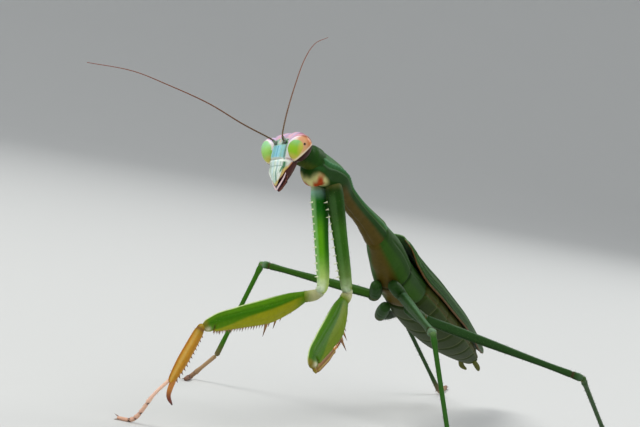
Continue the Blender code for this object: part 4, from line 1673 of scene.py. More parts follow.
@dataclass
class Trunk:
    """The neck, the pronotum, the winged thorax and the abdomen."""

    reach: float = 26.0
    rear: float = 3.3
    thorax_span: tuple[float, float] = (-4.4, 12.2)
    abdomen_span: tuple[float, float] = (11.2, 50.0)
    ring_pitch: float = 5.1
    cercus_root: float = 47.6
    widths: Contour = Contour((0, 1.7), (0.3, 1.25), (0.52, 1.4), (0.72, 2.3), (0.9, 1.9), (1, 1.4))
    heights: Contour = Contour((0, 4.1), (0.28, 2.8), (0.55, 2.7), (0.74, 3.4), (0.84, 4.05), (0.92, 4.85), (1, 4.3))
    sag: Contour = Contour((0, 0.05), (0.35, 0.45), (0.6, 0.3), (0.75, 0.0), (1, 0.35))
    hind_widths: Contour = Contour(
        (-4.4, 1.4), (-1, 2.15), (3, 2.7), (9, 3.1), (18, 3.8), (28, 3.9), (38, 3.1), (50, 1.2)
    )
    hind_heights: Contour = Contour(
        (-4.4, 3.8), (-1.5, 4.8), (1, 5.3), (8, 5.6), (20, 5.9), (31, 5.2), (41, 3.7), (50, 1.9)
    )
    back_depth: Contour = Contour((-4.4, 0.25), (0, 0.35), (6, 1.6), (50, 1.6))

    def pronotum(self) -> bpy.types.Object:
        """The long pronotum: a keeled shield over a soft underside, wider over the fore coxae.

        Returns:
            The object.
        """
        length = self.reach - self.rear

        def place(t: Array, a: Array) -> Array:
            """The surface's points at t and an angle.

            Args:
                t: places along the length, from 0 to 1.
                a: angles round the section.

            Returns:
                The points.
            """
            width, height = self.widths(t), self.heights(t)
            open_at = np.minimum(opened(t * length, 0.45), opened((1 - t) * length, 0.9))
            keel = 0.2 * bump(math.pi / 2, 0.22, a)
            across = width * np.sign(np.cos(a)) * np.abs(np.cos(a)) ** 0.9
            rise = height / 2 * np.sin(a) + keel
            return PROTHORAX.at(self.rear + length * t, across * open_at, rise * open_at - height / 2 - self.sag(t))

        surface = sweep(place, 260, 150, even=0.8)
        t, a = surface.t, surface.angle
        rise = np.sin(a)
        side = np.abs(np.cos(a))
        # the shield's rolled side edge
        margin = bump(0.3, 0.1, rise)
        lift = 0.16 * margin * ease(0.02, 0.08, t) * ease(1.0, 0.95, t)
        lift = lift - 0.1 * bump(0.12, 0.08, rise)
        # the groove across the shield over the fore coxae
        groove = bump(0.755 - 0.03 * side, 0.012, t) * ease(0.2, 0.5, rise)
        lift = lift - 0.16 * groove
        # soft folds below, between the coxae
        lift = lift + 0.02 * np.sin(t * 60) * ease(-0.3, -0.8, rise) * ease(0.7, 0.6, t)
        lift = lift - 0.12 * bump(0, 0.12, np.cos(a)) * ease(-0.3, -0.8, rise) * ease(0.72, 0.6, t)
        # teeth along the shield's edge, towards the front
        teeth = np.clip(np.sin(t * 210), 0, 1) ** 2
        lift = lift + 0.06 * teeth * margin * ease(0.35, 0.6, t)
        surface = surface.raised(lift)
        return dress("pronotum_shell", surface, self._paint_pronotum(surface), Coat.TRUNK)

    def _paint_pronotum(self, surface: Skin) -> Array:
        """The pronotum's greens with its brown underside and the pale and orange chest.

        Args:
            surface: the swept surface.

        Returns:
            The colours.
        """
        t, rise = surface.t, np.sin(surface.angle)
        ahead, left, up = PROTHORAX.local(surface.points)
        tint = layered(
            surface.plain(60, 96, 40),
            ((44, 96, 40), ease(0.55, 0.9, t)),
            ((104, 136, 84), bump(1.0, 0.05, rise) * 0.8),
            ((70, 124, 84), bump(0.3, 0.1, rise) * 0.8),
            ((24, 60, 8), ease(0.15, -0.05, rise)),
            ((90, 70, 22), ease(-0.3, -0.7, rise) * ease(0.76, 0.62, t) * 0.85),
            ((26, 62, 8), ease(-0.1, -0.4, rise) * ease(0.66, 0.8, t)),
        )
        chest = ease(20.6, 21.6, ahead) * ease(25.75, 25.2, ahead + 0.03 * np.sin(left * 7)) * ease(-3.5, -4.1, up)
        tint = over(tint, dye(196, 190, 130), chest)
        across = np.abs(left)
        along = 0.405 * (ahead - 23.7) - 0.123 * (across - 0.8)
        beside = 0.737 * (across - 0.8) - 0.344 * (ahead - 23.7) + 0.6 * along
        spot = np.hypot(beside / (0.36 + 0.3 * ease(-0.1, 0.4, along)), along / 0.52) + 0.12 * np.sin(across * 9)
        return layered(
            tint,
            ((158, 58, 12), ease(1.3, 0.5, spot) * ease(-3.4, -3.8, up)),
            ((54, 116, 58), bump(0.965, 0.03, t) * ease(0, -0.6, rise) * ease(-3.7, -3.0, up) * 0.7),
            ((120, 156, 92), bump(0.985, 0.012, t) * ease(0, 0.5, rise) * 0.7),
        )

    def neck(self) -> bpy.types.Object:
        """The short soft neck with its folds.

        Returns:
            The object.
        """
        start, middle = PROTHORAX.at(self.reach - 2.4, 0, -2.4), PROTHORAX.at(self.reach - 0.4, 0, -2.0)
        line = Line([start, middle, HEAD.at(-1.0, 0, -0.1)], PROTHORAX.up)
        radius = Contour((0, 1.9), (0.4, 1.7), (0.7, 1.36), (1, 1.1))
        surface = Limb(line, radius, 0.84, 0.5).skin(80, 60)
        surface = surface.raised(0.02 * np.sin(surface.t * 46))
        tint = layered(
            surface.plain(27, 66, 8),
            ((18, 42, 4), ease(0.4, 0.9, surface.t) * 0.8),
            ((66, 74, 14), ease(-0.5, -0.95, np.sin(surface.angle)) * 0.7),
        )
        return dress("neck_folds", surface, tint, Coat.TRUNK)

    def hind_point(self, back: Array, a: Array, opened_to: Array | float = 1.0, outward: Array | float = 0.0) -> Array:
        """A point round the hind body, a distance behind the waist and outside its skin.

        Args:
            back: distances behind the waist.
            a: angles round the section.
            opened_to: how far the section is open.
            outward: how far outside the skin.

        Returns:
            The points.
        """
        height = self.hind_heights(back)
        middle = -self.back_depth(back) - height / 2
        across = (self.hind_widths(back) * opened_to + outward) * np.cos(a)
        rise = (height / 2 * opened_to + outward) * np.sin(a)
        return HIND_BODY.at(back, -across, middle + rise)

    def hind_body(self) -> list[bpy.types.Object]:
        """The winged thorax and the abdomen as one shell each, stepped where the rings overlap.

        Returns:
            The objects.
        """
        pieces = []
        for name, start, end, tail, detail, finish in (
            ("thorax_shell", *self.thorax_span, 0.9, self._thorax_detail, Coat.TRUNK),
            ("abdomen_shell", *self.abdomen_span, 2.0, self._abdomen_detail, Coat.ABDOMEN),
        ):

            def place(t: Array, a: Array, start: float = start, end: float = end, tail: float = tail) -> Array:
                """The surface's points at t and an angle.

                Args:
                    t: places along the length, from 0 to 1.
                    a: angles round the section.
                    start: where the stretch starts.
                    end: where the stretch ends.
                    tail: the length of its rounded end.

                Returns:
                    The points.
                """
                back = start + (end - start) * t
                open_at = np.minimum(opened(back - start, 0.9), opened(end - back, tail))
                return self.hind_point(back, a, open_at)

            surface = sweep(place, 220, 160, even=0.9)
            back = start + (end - start) * surface.t
            lift, tint = detail(back, np.sin(surface.angle))
            pieces.append(dress(name, surface.raised(lift), tint, finish))
        return pieces

    def _thorax_detail(self, back: Array, rise: Array) -> tuple[Array, Array]:
        """The winged thorax's plates and their colours.

        Args:
            back: distances behind the waist.
            rise: the sine of the angle round the body.

        Returns:
            The relief and the colours.
        """
        lift = -0.14 * bump(4.6, 0.22, back) * ease(0.6, 0.2, rise)
        lift = lift - 0.1 * bump(0.1, 0.08, rise) * ease(-3, -1, back)
        lift = lift + 0.1 * bump(-0.9, 0.3, rise) * np.cos(back * 1.3) - 0.22 * ease(10.2, 12.0, back)
        tint = layered(
            np.broadcast_to(dye(34, 66, 16), back.shape + (3,)),
            ((54, 100, 50), ease(0.3, 0.8, rise) * 0.8),
            ((120, 156, 124), bump(-3.0, 0.9, back) * ease(0.5, 0.95, rise) * 0.8),
            ((52, 92, 14), ease(-0.2, -0.5, rise) * 0.6),
            ((92, 64, 18), ease(-0.72, -0.96, rise) * 0.75),
            ((14, 28, 6), bump(4.6, 0.3, back) * 0.7),
        )
        return lift, tint

    def _abdomen_detail(self, back: Array, rise: Array) -> tuple[Array, Array]:
        """The abdomen's overlapping rings, side fold and colours.

        Args:
            back: distances behind the waist.
            rise: the sine of the angle round the body.

        Returns:
            The relief and the colours.
        """
        local = ((back - self.abdomen_span[0]) % self.ring_pitch) / self.ring_pitch
        lift = -0.2 * (1 - ease(0.0, 0.22, local)) * ease(11.6, 13, back)
        lift = lift - 0.16 * bump(-0.12, 0.07, rise) + 0.08 * bump(-0.28, 0.08, rise)
        tint = layered(
            np.broadcast_to(dye(50, 72, 14), back.shape + (3,)),
            ((72, 58, 20), bump(0.25, 0.35, rise) * 0.5),
            ((38, 52, 10), ease(-0.1, -0.5, rise) * 0.7),
            ((92, 98, 40), ease(0.86, 0.99, local) * 0.6),
            ((16, 26, 8), (1 - ease(0.0, 0.1, local)) * 0.6),
        )
        return lift, over(tint, dye(84, 66, 28), bump(-0.12, 0.06, rise) * 0.6)

    def cerci(self) -> list[bpy.types.Object]:
        """The two jointed feelers at the tail.

        Returns:
            The objects.
        """
        pieces = []
        for side in Side:
            angle = -0.7 if side is Side.RIGHT else math.pi + 0.7
            place = (np.array(self.cercus_root), np.array(angle))
            root, far = (self.hind_point(*place, outward=out) for out in (-0.2, 0.42))
            tip = far + HIND_BODY.forward * 3.8 - HIND_BODY.left * side.value * 0.5
            line = Line([root, (far + tip) / 2, tip], HIND_BODY.up)
            surface = Limb(line, Contour((0, 0.34), (0.4, 0.38), (1, 0.16)), 1, 0.8).skin(120, 18)
            rings = np.cos(surface.t * 2 * math.pi * 11)
            surface = surface.raised(0.035 * rings)
            tint = surface.plain(84, 92, 40)
            tint = over(tint, dye(124, 110, 60), ease(0.3, 1.0, rings) * 0.6)
            pieces.append(dress("cercus_rings_" + side.word, surface, tint, Coat.ABDOMEN))
        return pieces

    def build(self) -> None:
        """Makes the trunk's pieces and hangs them on the frame."""
        settle(self.pronotum(), "trunk_green", "prothorax")
        settle(self.neck(), "trunk_green", "neck")
        thorax, abdomen = self.hind_body()
        settle(thorax, "trunk_green", "pterothorax")
        settle(abdomen, "abdomen_olive", "abdomen_front", "abdomen_middle", "abdomen_tip")
        for piece, side in zip(self.cerci(), Side):
            settle(piece, "abdomen_olive", "cercus_" + side.word)


@dataclass
class Wings:
    """The two leathery fore wings, folded over the back with the left one on top."""

    trunk: Trunk
    start: float = 2.8
    length: float = 50.0
    sheet: float = 0.16
    clearance: float = 0.25
    solid: float = 0.5
    overlap: float = 0.42
    turn: float = math.radians(80)
    reaches: Contour = Contour((0, 0.35), (0.06, 0.8), (0.2, 1.0), (0.75, 1.0), (0.9, 0.8), (1, 0.28))
    inner: Contour = Contour((0, 0.1), (0.25, 1.0), (0.85, 1.0), (1, -0.1))

    def _surface(self, side: Side, along: Array, across: Array, sink: float = 0.0) -> Array:
        """A point of a wing's outer surface, along it and across it from 0 to 1.

        Args:
            side: which wing.
            along: places along the wing, from 0 to 1.
            across: places across it, from 0 to 1.
            sink: how far below the outer surface.

        Returns:
            The points.
        """
        reach = self.reaches(along)
        inner = -self.overlap * self.inner(along)
        turned = inner + (reach - inner) * across
        outward = self.clearance + self.solid - sink
        if side is Side.LEFT:
            outward = outward + (self.solid + self.clearance) * (1 - Contour((0.5, 0), (0.9, 1))(turned))
        outward = outward * (1 - 0.25 * bump(1.0, 0.12, across))
        angle = math.pi / 2 - self.turn * turned * side.value
        return self.trunk.hind_point(self.start + self.length * along, angle, outward=outward)

    def _blade(self, side: Side) -> bpy.types.Object:
        """The wing's sheet, closed round its edge, with its own map and colours.

        Args:
            side: which wing.

        Returns:
            The object.
        """
        long, wide = 190, 44
        along, across = np.meshgrid(np.linspace(0, 1, long), np.linspace(0, 1, wide), indexing="ij")
        fluted = 0.03 * np.sin(across * 60) * ease(0.85, 0.6, across)
        layers = [self._surface(side, along, across, -fluted), self._surface(side, along, across, self.sheet - fluted)]
        points = np.concatenate([layer.reshape(-1, 3) for layer in layers])
        count = long * wide
        faces = []
        for a, b, c, d in quads(long, wide, closed=False):
            faces += [(a, d, c, b), (count + a, count + b, count + c, count + d)]
        rim = [(i, 0) for i in range(long)] + [(long - 1, j) for j in range(1, wide)]
        rim += [(i, wide - 1) for i in range(long - 2, -1, -1)] + [(0, j) for j in range(wide - 2, 0, -1)]
        ring = [i * wide + j for i, j in rim]
        for first, second in zip(ring, ring[1:] + ring[:1]):
            faces.append((first, second, count + second, count + first))
        tint = self._paint(along, across)
        piece = new_piece("wing_blade", points, faces, np.concatenate([tint.reshape(-1, 3)] * 2))
        face_outwards(piece)
        piece.data.materials.append(Coat.WING.material())
        chart = piece.data.uv_layers.new(name="vane")
        flat = np.stack([along * 95, across * 17], axis=-1).reshape(-1, 2)
        flat = np.concatenate([flat, flat])
        corners = np.empty(len(piece.data.loops), np.int32)
        piece.data.loops.foreach_get("vertex_index", corners)
        chart.data.foreach_set("uv", flat[corners].astype(np.float32).ravel())
        return piece

    def _paint(self, along: Array, across: Array) -> Array:
        """Deep green with a brown front edge and a paler root.

        Args:
            along: places along the wing, from 0 to 1.
            across: places across it, from 0 to 1.

        Returns:
            The colours.
        """
        return layered(
            np.broadcast_to(dye(28, 70, 20), along.shape + (3,)),
            ((20, 50, 8), ease(0.2, 0.7, across) * 0.7),
            ((86, 120, 76), ease(0.1, 0.0, along)),
            ((52, 84, 34), bump(0.78, 0.05, across) * 0.6),
            ((92, 54, 20), ease(0.93, 0.985, across) * 0.9),
            ((56, 66, 30), ease(0.8, 1.0, along) * 0.6),
        )

    def _lines(self, side: Side) -> tuple[list[Array], list[Array]]:
        """The long veins and the slanting cross veins, with their girths.

        Args:
            side: which wing.

        Returns:
            The lines and their girths.
        """
        lines, girths = [], []
        t = np.linspace(0.015, 0.985, 90)
        long_veins = (
            (0.9, 0.93, 0.12), (0.8, 0.83, 0.11), (0.72, 0.66, 0.12), (0.62, 0.46, 0.09),
            (0.5, 0.28, 0.08), (0.36, 0.14, 0.08), (0.22, 0.06, 0.07),
        )
        for root, far, thick in long_veins:
            across = root + (far - root) * t
            lines.append(self._surface(side, t, across, 0.02))
            girths.append(thick * (1 - 0.6 * t))
        for step in range(56):
            base = 0.03 + step * 0.0165
            low, high = (0.93, 0.99) if step % 2 else (0.84, 0.92)
            across = np.linspace(low, high, 5)
            lines.append(self._surface(side, base + 0.012 * np.linspace(0, 1, 5), across, 0.02))
            girths.append(np.full(5, 0.035))
        for step in range(64):
            base = 0.05 + step * 0.0138
            low = 0.15 + 0.5 * ((step * 37) % 17) / 17
            across = np.linspace(low, low + 0.12, 6)
            along = np.clip(base + 0.02 * np.linspace(0, 1, 6), 0, 0.99)
            lines.append(self._surface(side, along, across, 0.02))
            girths.append(np.full(6, 0.035))
        return lines, girths

    def build(self, veins: Veins) -> None:
        """Makes both wings.

        Args:
            veins: the tree that sweeps raised veins.
        """
        for side in Side:
            blade = self._blade(side)
            settle(renamed(blade, "forewing_blade_" + side.word), "wing_green", "forewing_" + side.word)
            lines, girths = self._lines(side)
            guide = line_guide("forewing_veins_" + side.word, lines, girths)
            net = veins.run(guide, Coat.VEIN, Thickness=1.0)
            written(net.data, "tint", "FLOAT_COLOR", np.tile((*dye(48, 86, 30), 1), len(net.data.vertices)))
            settle(net, "wing_green")


def renamed(piece: bpy.types.Object, name: str) -> bpy.types.Object:
    """Renames a piece and its mesh.

    Args:
        piece: the object.
        name: its new name.

    Returns:
        The same object.
    """
    piece.name = name
    piece.data.name = name
    return piece


# ------------------------------------------------------------------ the feet


@dataclass(frozen=True)
class Foot:
    """A foot of five joints along a line, with a pair of claws at its end."""

    line: Line
    on_floor: bool = True
    root: Array = field(default_factory=lambda: dye(240, 198, 176))
    tip: Array = field(default_factory=lambda: dye(206, 162, 140))
    slim: float = 1.0

    def pieces(self, spines: Spines, name: str) -> list[bpy.types.Object]:
        """The foot's joints and claws.

        Args:
            spines: the tree that grows the claws.
            name: the start of the pieces' names.

        Returns:
            The joints and the claws.
        """
        sizes = ((0, 0.3), (0.3, 0.28), (0.42, 0.36), (0.55, 0.33), (0.75, 0.38), (0.95, 0.3), (1, 0.26))
        radius = Contour(*((place, size * self.slim) for place, size in sizes))
        surface = Limb(self.line, radius, 1.0, 0.8).skin(170, 30)
        joints = (0.47, 0.63, 0.75, 0.84)
        waist = sum(bump(place, 0.012, surface.t) for place in joints)
        lobe = sum(bump(place - 0.03, 0.018, surface.t) for place in joints)
        below = ease(0.2, -0.6, np.sin(surface.angle))
        surface = surface.raised(-0.05 * waist + 0.05 * lobe * below)
        if self.on_floor:
            surface.points[..., 2] = np.maximum(surface.points[..., 2], 0.0)
        tint = over(np.broadcast_to(self.root, surface.points.shape), self.tip, ease(0.2, 0.9, surface.t))
        tint = over(tint, dye(110, 76, 70), waist * 0.5)
        dots = sum(bump(place - 0.012, 0.013, surface.t) for place in joints)
        off = np.minimum(np.abs(surface.angle - 2.3), np.abs(surface.angle - 0.85))
        tint = over(tint, dye(26, 14, 16), dots * bump(0, 0.5, off) * 1.4)
        bed = SpineBed()
        centre, left, up = self.line.spot(0.97)
        along = unit(self.line.spot(1.0)[0] - self.line.spot(0.93)[0])
        lift = np.array([0, 0, 0.12 * self.on_floor])
        for sign in (1, -1):
            bed.plant(centre + left * sign * 0.12, along * 0.75 + left * sign * 0.34 + lift, -up, 0.1)
        claws = bed.grow(name + "_claws", spines, dye(120, 84, 60), dye(40, 22, 18), bend=1.4)
        return [dress(name + "_joints", surface, tint, Coat.FOOT), claws]


# ------------------------------------------------------------------ the grasping legs


@dataclass
class Foreleg:
    """One grasping leg: toothed coxa, trochanter, bladed femur, spined tibia, claw and foot."""

    side: Side
    spines: Spines
    femur_length: float = 17.9
    tibia_length: float = 7.6

    def __post_init__(self) -> None:
        """Works out the leg's joints and directions."""
        left = self.side is Side.LEFT
        self.root = PROTHORAX.at(*((20.0, 1.45, -3.35) if left else (19.3, -1.5, -3.3)))
        self.elbow = self.root + direction(*((15.0, -73.5) if left else (-11.2, -75.1))) * 12.9
        self.thigh = direction(*((-77.0, -25.0) if left else (-111.4, -16.9)))
        self.shin = direction(*((91.5, 9.5) if left else (-127.9, -68.7)))
        self.inner = square_to(self.thigh, self.shin)
        trochanter = direction(135.0, -66.0) * 1.1 if left else direction(-174.3, -26.4) * 1.7
        self.joint = self.elbow + trochanter
        self.hip = self.joint + self.thigh
        self.knee = self.joint + self.thigh * self.femur_length
        self.folded = max(0.0, -float(self.thigh @ self.shin))
        self.hinge = self.knee + self.inner * (0.8 * self.folded) - self.thigh * (0.3 * self.folded)
        self.shin = unit(self.shin - (self.thigh + self.shin) * (0.55 * self.folded))
        self.wrist = self.hinge + self.shin * self.tibia_length
        self.lower = square_to(self.shin, -self.thigh)

    def coxa(self) -> list[bpy.types.Object]:
        """The long coxa with the small pale teeth on its front edge.

        Returns:
            The objects.
        """
        start, end = trimmed(self.root, self.elbow, -1.3, 0.0)
        turn = end - unit(self.elbow - self.root) * 1.3
        inward = (-0.55, -0.2) if self.side is Side.LEFT else (0.1, 0.2)
        start, turn = start + PROTHORAX.left * inward[0], turn + PROTHORAX.left * inward[1]
        line = Line([start, (start + turn) / 2, turn, end + self.thigh * 0.55], -self.thigh)
        limb = Limb(line, Contour((0, 0.95), (0.14, 1.24), (0.5, 1.03), (0.85, 0.88), (1, 0.68)), 0.88, 0.8, edge=0.25)
        surface = limb.skin(150, 60)
        rise = np.sin(surface.angle)
        lift = 0.03 * bump(-1.0, 0.12, rise) - 0.03 * bump(-0.72, 0.1, rise)
        lift = lift + 0.05 * bump(0.35, 0.12, rise)
        surface = surface.raised(lift)
        left = self.side is Side.LEFT
        top, middle, low = (
            (dye(30, 58, 8), dye(50, 96, 18), dye(108, 136, 70))
            if left
            else (dye(30, 106, 22), dye(92, 162, 16), dye(196, 218, 130))
        )
        tint = np.broadcast_to(top, surface.points.shape)
        tint = over(tint, dye(18, 96, 6), bump(0.22, 0.1, surface.t) * (0.2 if left else 0.8))
        tint = over(tint, middle, ease(0.25, 0.5, surface.t))
        tint = over(tint, low, ease(0.6, 0.97, surface.t))
        tint = layered(
            tint,
            # painted shade: darker green over the right coxa's shaded side
            ((22, 98, 14), ease(-0.55, 0.0, rise) * bump(0.5, 0.3, surface.t) * (0.0 if left else 0.85)),
            # painted highlight: a pale line along the lit edge, mostly on the right coxa
            ((150, 200, 130), ease(-0.8, -0.97, rise) * ease(0.1, 0.2, surface.t) * (0.1 if left else 0.55)),
            # painted highlight: whitish towards the coxa's lower end on its lit side
            ((210, 224, 192), ease(0.84, 0.96, surface.t) * ease(0.2, -0.5, rise) * (0.3 if left else 0.9)),
            ((150, 128, 40), ease(0.88, 1.0, surface.t) * ease(0.0, 0.5, rise) * 0.5),
            ((150, 190, 180), ease(0.2, 0.1, surface.t) * (0.0 if left else 0.6)),
            ((150, 140, 80), ease(0.12, 0.05, surface.t) * (0.3 if left else 0.8)),
            ((196, 214, 184), ease(0.97, 1.0, surface.t) * 0.7),
        )
        bed = SpineBed()
        turned = 0.95 if left else 0.0
        for index in range(11):
            t = 0.2 + 0.64 * index / 10
            centre, sideways, up = line.spot(t)
            radius = float(limb.radius(t))
            front = sideways * math.sin(turned) * 0.86 - up * math.cos(turned)
            size = 0.5 if index % 2 else 0.62
            bed.plant(centre + front * radius * 0.93, front * size + unit(end - start) * size * 0.25, front, 0.15)
        for index in range(14):
            t = 0.1 + 0.8 * index / 13
            centre, sideways, up = line.spot(t)
            radius = float(limb.radius(t))
            foot = centre + up * radius * 0.8 - sideways * radius * 0.3
            bed.plant(foot, up * 0.2 - sideways * 0.08, up, 0.07)
        teeth = bed.grow("coxa_teeth", self.spines, dye(226, 232, 196), dye(206, 206, 170), bend=0.5, start=0.7)
        return [dress("coxa_shell", surface, tint, Coat.FORELEG), teeth]

    def trochanter(self) -> bpy.types.Object:
        """The short joint under the coxa.

        Returns:
            The object.
        """
        coxa = unit(self.elbow - self.root)
        middle = (self.elbow + self.joint) / 2 + coxa * 0.2
        line = Line([self.elbow - self.thigh * 0.1 - coxa * 0.3, middle, self.hip + self.thigh * 0.35], -self.inner)
        surface = Limb(line, Contour((0, 0.62), (0.5, 0.74), (1, 0.8)), 0.85, 0.9).skin(60, 40)
        surface = surface.raised(-0.05 * bump(0.3, 0.05, surface.t) - 0.05 * bump(0.75, 0.04, surface.t))
        tint = layered(
            surface.plain(176, 176, 130),
            ((196, 204, 176), ease(0.4, 0.0, surface.t)),
            ((112, 130, 40), ease(0.55, 0.95, surface.t)),
        )
        return dress("trochanter_shell", surface, tint, Coat.FORELEG)

    def _femur(self) -> Limb:
        """The femur's blade.

        Returns:
            The limb's shape.
        """
        start, end = trimmed(self.hip, self.knee, -0.9, 0.15)
        heights = Contour(
            (0, 0.62), (0.07, 1.05), (0.14, 1.42), (0.38, 2.05), (0.6, 1.8), (0.88, 1.15), (0.95, 0.85), (1, 0.6)
        )
        lift = Contour((0, 0.0), (0.35, -0.2), (0.7, 0.0), (1, 0.0))
        back = Contour((0, 0.9), (0.12, 0.72), (0.4, 0.64), (0.7, 0.74), (0.9, 1.0), (1, 1.0))
        return Limb(Line([start, end], -self.inner), heights, 0.46, 0.9, lift, edge=0.35, back=back)

    def femur(self) -> list[bpy.types.Object]:
        """The bladed femur with its ridge, knee lobes and rows of spines.

        Returns:
            The objects.
        """
        limb = self._femur()
        surface = limb.skin(240, 90)
        t, rise = surface.t, np.sin(surface.angle)
        lift = 0.09 * bump(1.0, 0.03, rise) * ease(0.1, 0.2, t)
        lift = lift - 0.16 * bump(-1.0, 0.03, rise) * ease(0.3, 0.4, t)
        lift = lift - 0.05 * bump(0.62, 0.05, rise) * ease(0.12, 0.25, t) * ease(0.95, 0.8, t)
        lift = lift - 0.05 * bump(-0.45, 0.06, rise) * ease(0.1, 0.2, t) * ease(0.9, 0.7, t)
        # the groove that the claw rests in, on the inner face
        lift = lift - 0.12 * bump(0.3, 0.035, t) * bump(-0.6, 0.3, rise)
        lobe = bump(0.955, 0.03, t)
        lift = lift + 0.14 * lobe * bump(-0.35, 0.4, rise) - 0.12 * bump(0.91, 0.012, t) * ease(0.4, -0.2, rise)
        surface = surface.raised(lift)
        blade = dress("femur_blade", surface, self._paint_femur(t, surface.angle), Coat.FORELEG)
        return [blade] + self._femur_spines(limb)

    def _paint_femur(self, t: Array, a: Array) -> Array:
        """Green, yellower towards the spines, with a pale back edge and a pale knee.

        Args:
            t: places along the length, from 0 to 1.
            a: angles round the section.

        Returns:
            The colours.
        """
        rise = np.sin(a)
        left = self.side is Side.LEFT
        base, deep = (dye(64, 108, 6), dye(42, 84, 2)) if left else (dye(84, 130, 6), dye(52, 112, 4))
        tint = np.broadcast_to(base, t.shape + (3,))
        tint = over(tint, deep, bump(0.45, 0.4, rise) * 0.8)
        border = Contour((0.1, 0.45), (0.3, 0.3), (0.55, 0.08), (0.7, -0.15), (0.85, -0.5), (1, -0.8))(t)
        yellow = ease(0.14, -0.14, rise - border) * ease(0.02, 0.2, t)
        return layered(
            tint,
            ((156, 156, 22), yellow * (0.3 if left else 0.95)),
            ((92, 128, 16), ease(0.2, 0.0, t) * 0.6),
            ((196, 214, 150), ease(0.975, 0.999, rise) * ease(0.1, 0.6, t) * 0.9),
            ((176, 160, 80), ease(-0.95, -1.0, rise) * 0.8),
            ((150, 110, 50), ease(0.94, 0.99, t) * 0.5),
            ((214, 206, 180), bump(0.965, 0.02, t) * bump(-0.4, 0.35, rise) * 0.9),
            ((58, 24, 20), bump(0.91, 0.01, t) * ease(0.3, -0.3, rise) * 0.7),
        )

    def _femur_spines(self, limb: Limb) -> list[bpy.types.Object]:
        """Two rows of spines on the femur's inner edge and the long ones between them.

        Args:
            limb: the limb that the spines stand on.

        Returns:
            The objects.
        """
        last = 0.9 - 0.4 * self.folded
        bed = SpineBed()
        for index in range(1 + round((last - 0.42) / 0.026)):
            t = 0.42 + 0.026 * index
            length, girth = (0.36, 0.18) if index % 4 == 0 else (0.27, 0.15)
            for row in (-1, 1):
                self._stand(bed, limb, t + 0.006 * row, length, girth, 0.45 * row)
        for t, length in ((0.16, 0.25), (0.26, 0.45), (0.31, 1.05), (0.37, 0.5), (0.395, 1.6)):
            self._stand(bed, limb, t, length, 0.17 + 0.08 * length, 0.0)
        return [bed.grow("femur_spines", self.spines, dye(176, 130, 76), dye(58, 22, 14), bend=0.8, start=0.25)]

    def _stand(self, bed: SpineBed, limb: Limb, t: float, length: float, girth: float, edge: float) -> None:
        """Plants one spine on the underside of a limb, as its solid has it.

        Args:
            bed: what the spine is added to.
            limb: the limb that the spines stand on.
            t: its place along the limb.
            length: how far it stands out.
            girth: the radius.
            edge: how far it stands to the side.
        """
        centre, left, up = limb.line.spot(t)
        ends = limb.line.at(np.array([max(0.0, t - 0.05), min(1.0, t + 0.05)]))[0]
        along = unit(ends[1] - ends[0])
        depth = float(limb.radius(t))
        rise = float(limb.lift(t)) if limb.lift else 0.0
        foot = centre + up * (rise - depth * 0.62) + left * (edge * depth * 0.22)
        aim = -up * (depth * 0.38 + length) + left * (edge * 0.2) + along * length * 0.3
        bed.plant(foot, aim, along, girth)

    def _tibia(self) -> Limb:
        """The tibia's shape.

        Returns:
            The limb's shape.
        """
        back_up = 0.55 * sine_between(self.thigh, self.shin)
        start, end = trimmed(self.hinge, self.wrist, -back_up + 0.05, 0.0)
        slim = 1 - 0.35 * self.folded
        heights = Contour((0, 0.6 * slim), (0.2, 0.84 * slim), (0.6, 0.9 * slim), (0.9, 0.66 * slim), (1, 0.46))
        return Limb(Line([start, end], -self.lower), heights, 0.5, 0.8, edge=0.3)

    def tibia(self) -> list[bpy.types.Object]:
        """The tibia with its slanting spines and its curved claw.

        Returns:
            The objects.
        """
        limb = self._tibia()
        surface = limb.skin(130, 54)
        t, rise = surface.t, np.sin(surface.angle)
        lift = 0.05 * bump(1.0, 0.05, rise) - 0.06 * bump(-1.0, 0.06, rise) - 0.05 * bump(0.08, 0.03, t)
        surface = surface.raised(lift)
        left = self.side is Side.LEFT
        base = dye(112, 76, 30) if left else dye(204, 146, 40)
        tint = layered(
            np.broadcast_to(base, t.shape + (3,)),
            ((150, 96, 26), bump(-0.2, 0.4, rise) * 0.5),
            ((158, 84, 22), ease(-0.6, -1.0, rise) * 0.7),
            ((222, 190, 110), bump(0.62, 0.2, rise) * 0.5),
            ((140, 72, 26), ease(0.85, 1.0, rise) * 0.6),
            ((130, 124, 30), ease(0.25, 0.05, t) * 0.6),
            ((120, 70, 40), bump(0.08, 0.03, t) * 0.7),
        )
        pieces = [dress("tibia_shell", surface, tint, Coat.TIBIA)]
        bed = SpineBed()
        for row in (-1, 1):
            for index in range(12):
                t = 0.14 + 0.76 * index / 11 + 0.015 * row
                self._stand(bed, limb, t, 0.2 + 0.2 * index / 11, 0.17, 0.4 * row)
        pieces.append(bed.grow("tibia_spines", self.spines, dye(150, 88, 36), dye(40, 14, 10), bend=0.8, start=0.15))
        return pieces + [self._claw()]

    def _claw(self) -> bpy.types.Object:
        """The long curved claw that ends the tibia.

        Returns:
            The object.
        """
        along, inward = (2.9, 0.2) if self.side is Side.LEFT else (2.2, 2.2)
        start = self.wrist - self.shin * 0.9 + self.lower * 0.15
        middle = self.wrist + self.shin * (along * 0.6) + self.lower * (inward * 0.35)
        tip = self.wrist + self.shin * along + self.lower * inward
        radius = Contour((0, 0.42), (0.4, 0.37), (0.8, 0.22), (1, 0.07))
        surface = Limb(Line([start, middle, tip], -self.lower), radius, 0.7, 0.8).skin(80, 24)
        tint = layered(
            surface.plain(190, 122, 50),
            ((118, 48, 30), ease(0.3, 0.75, surface.t)),
            ((40, 14, 18), ease(0.8, 1.0, surface.t)),
        )
        return dress("tibia_claw", surface, tint, Coat.SPINE)

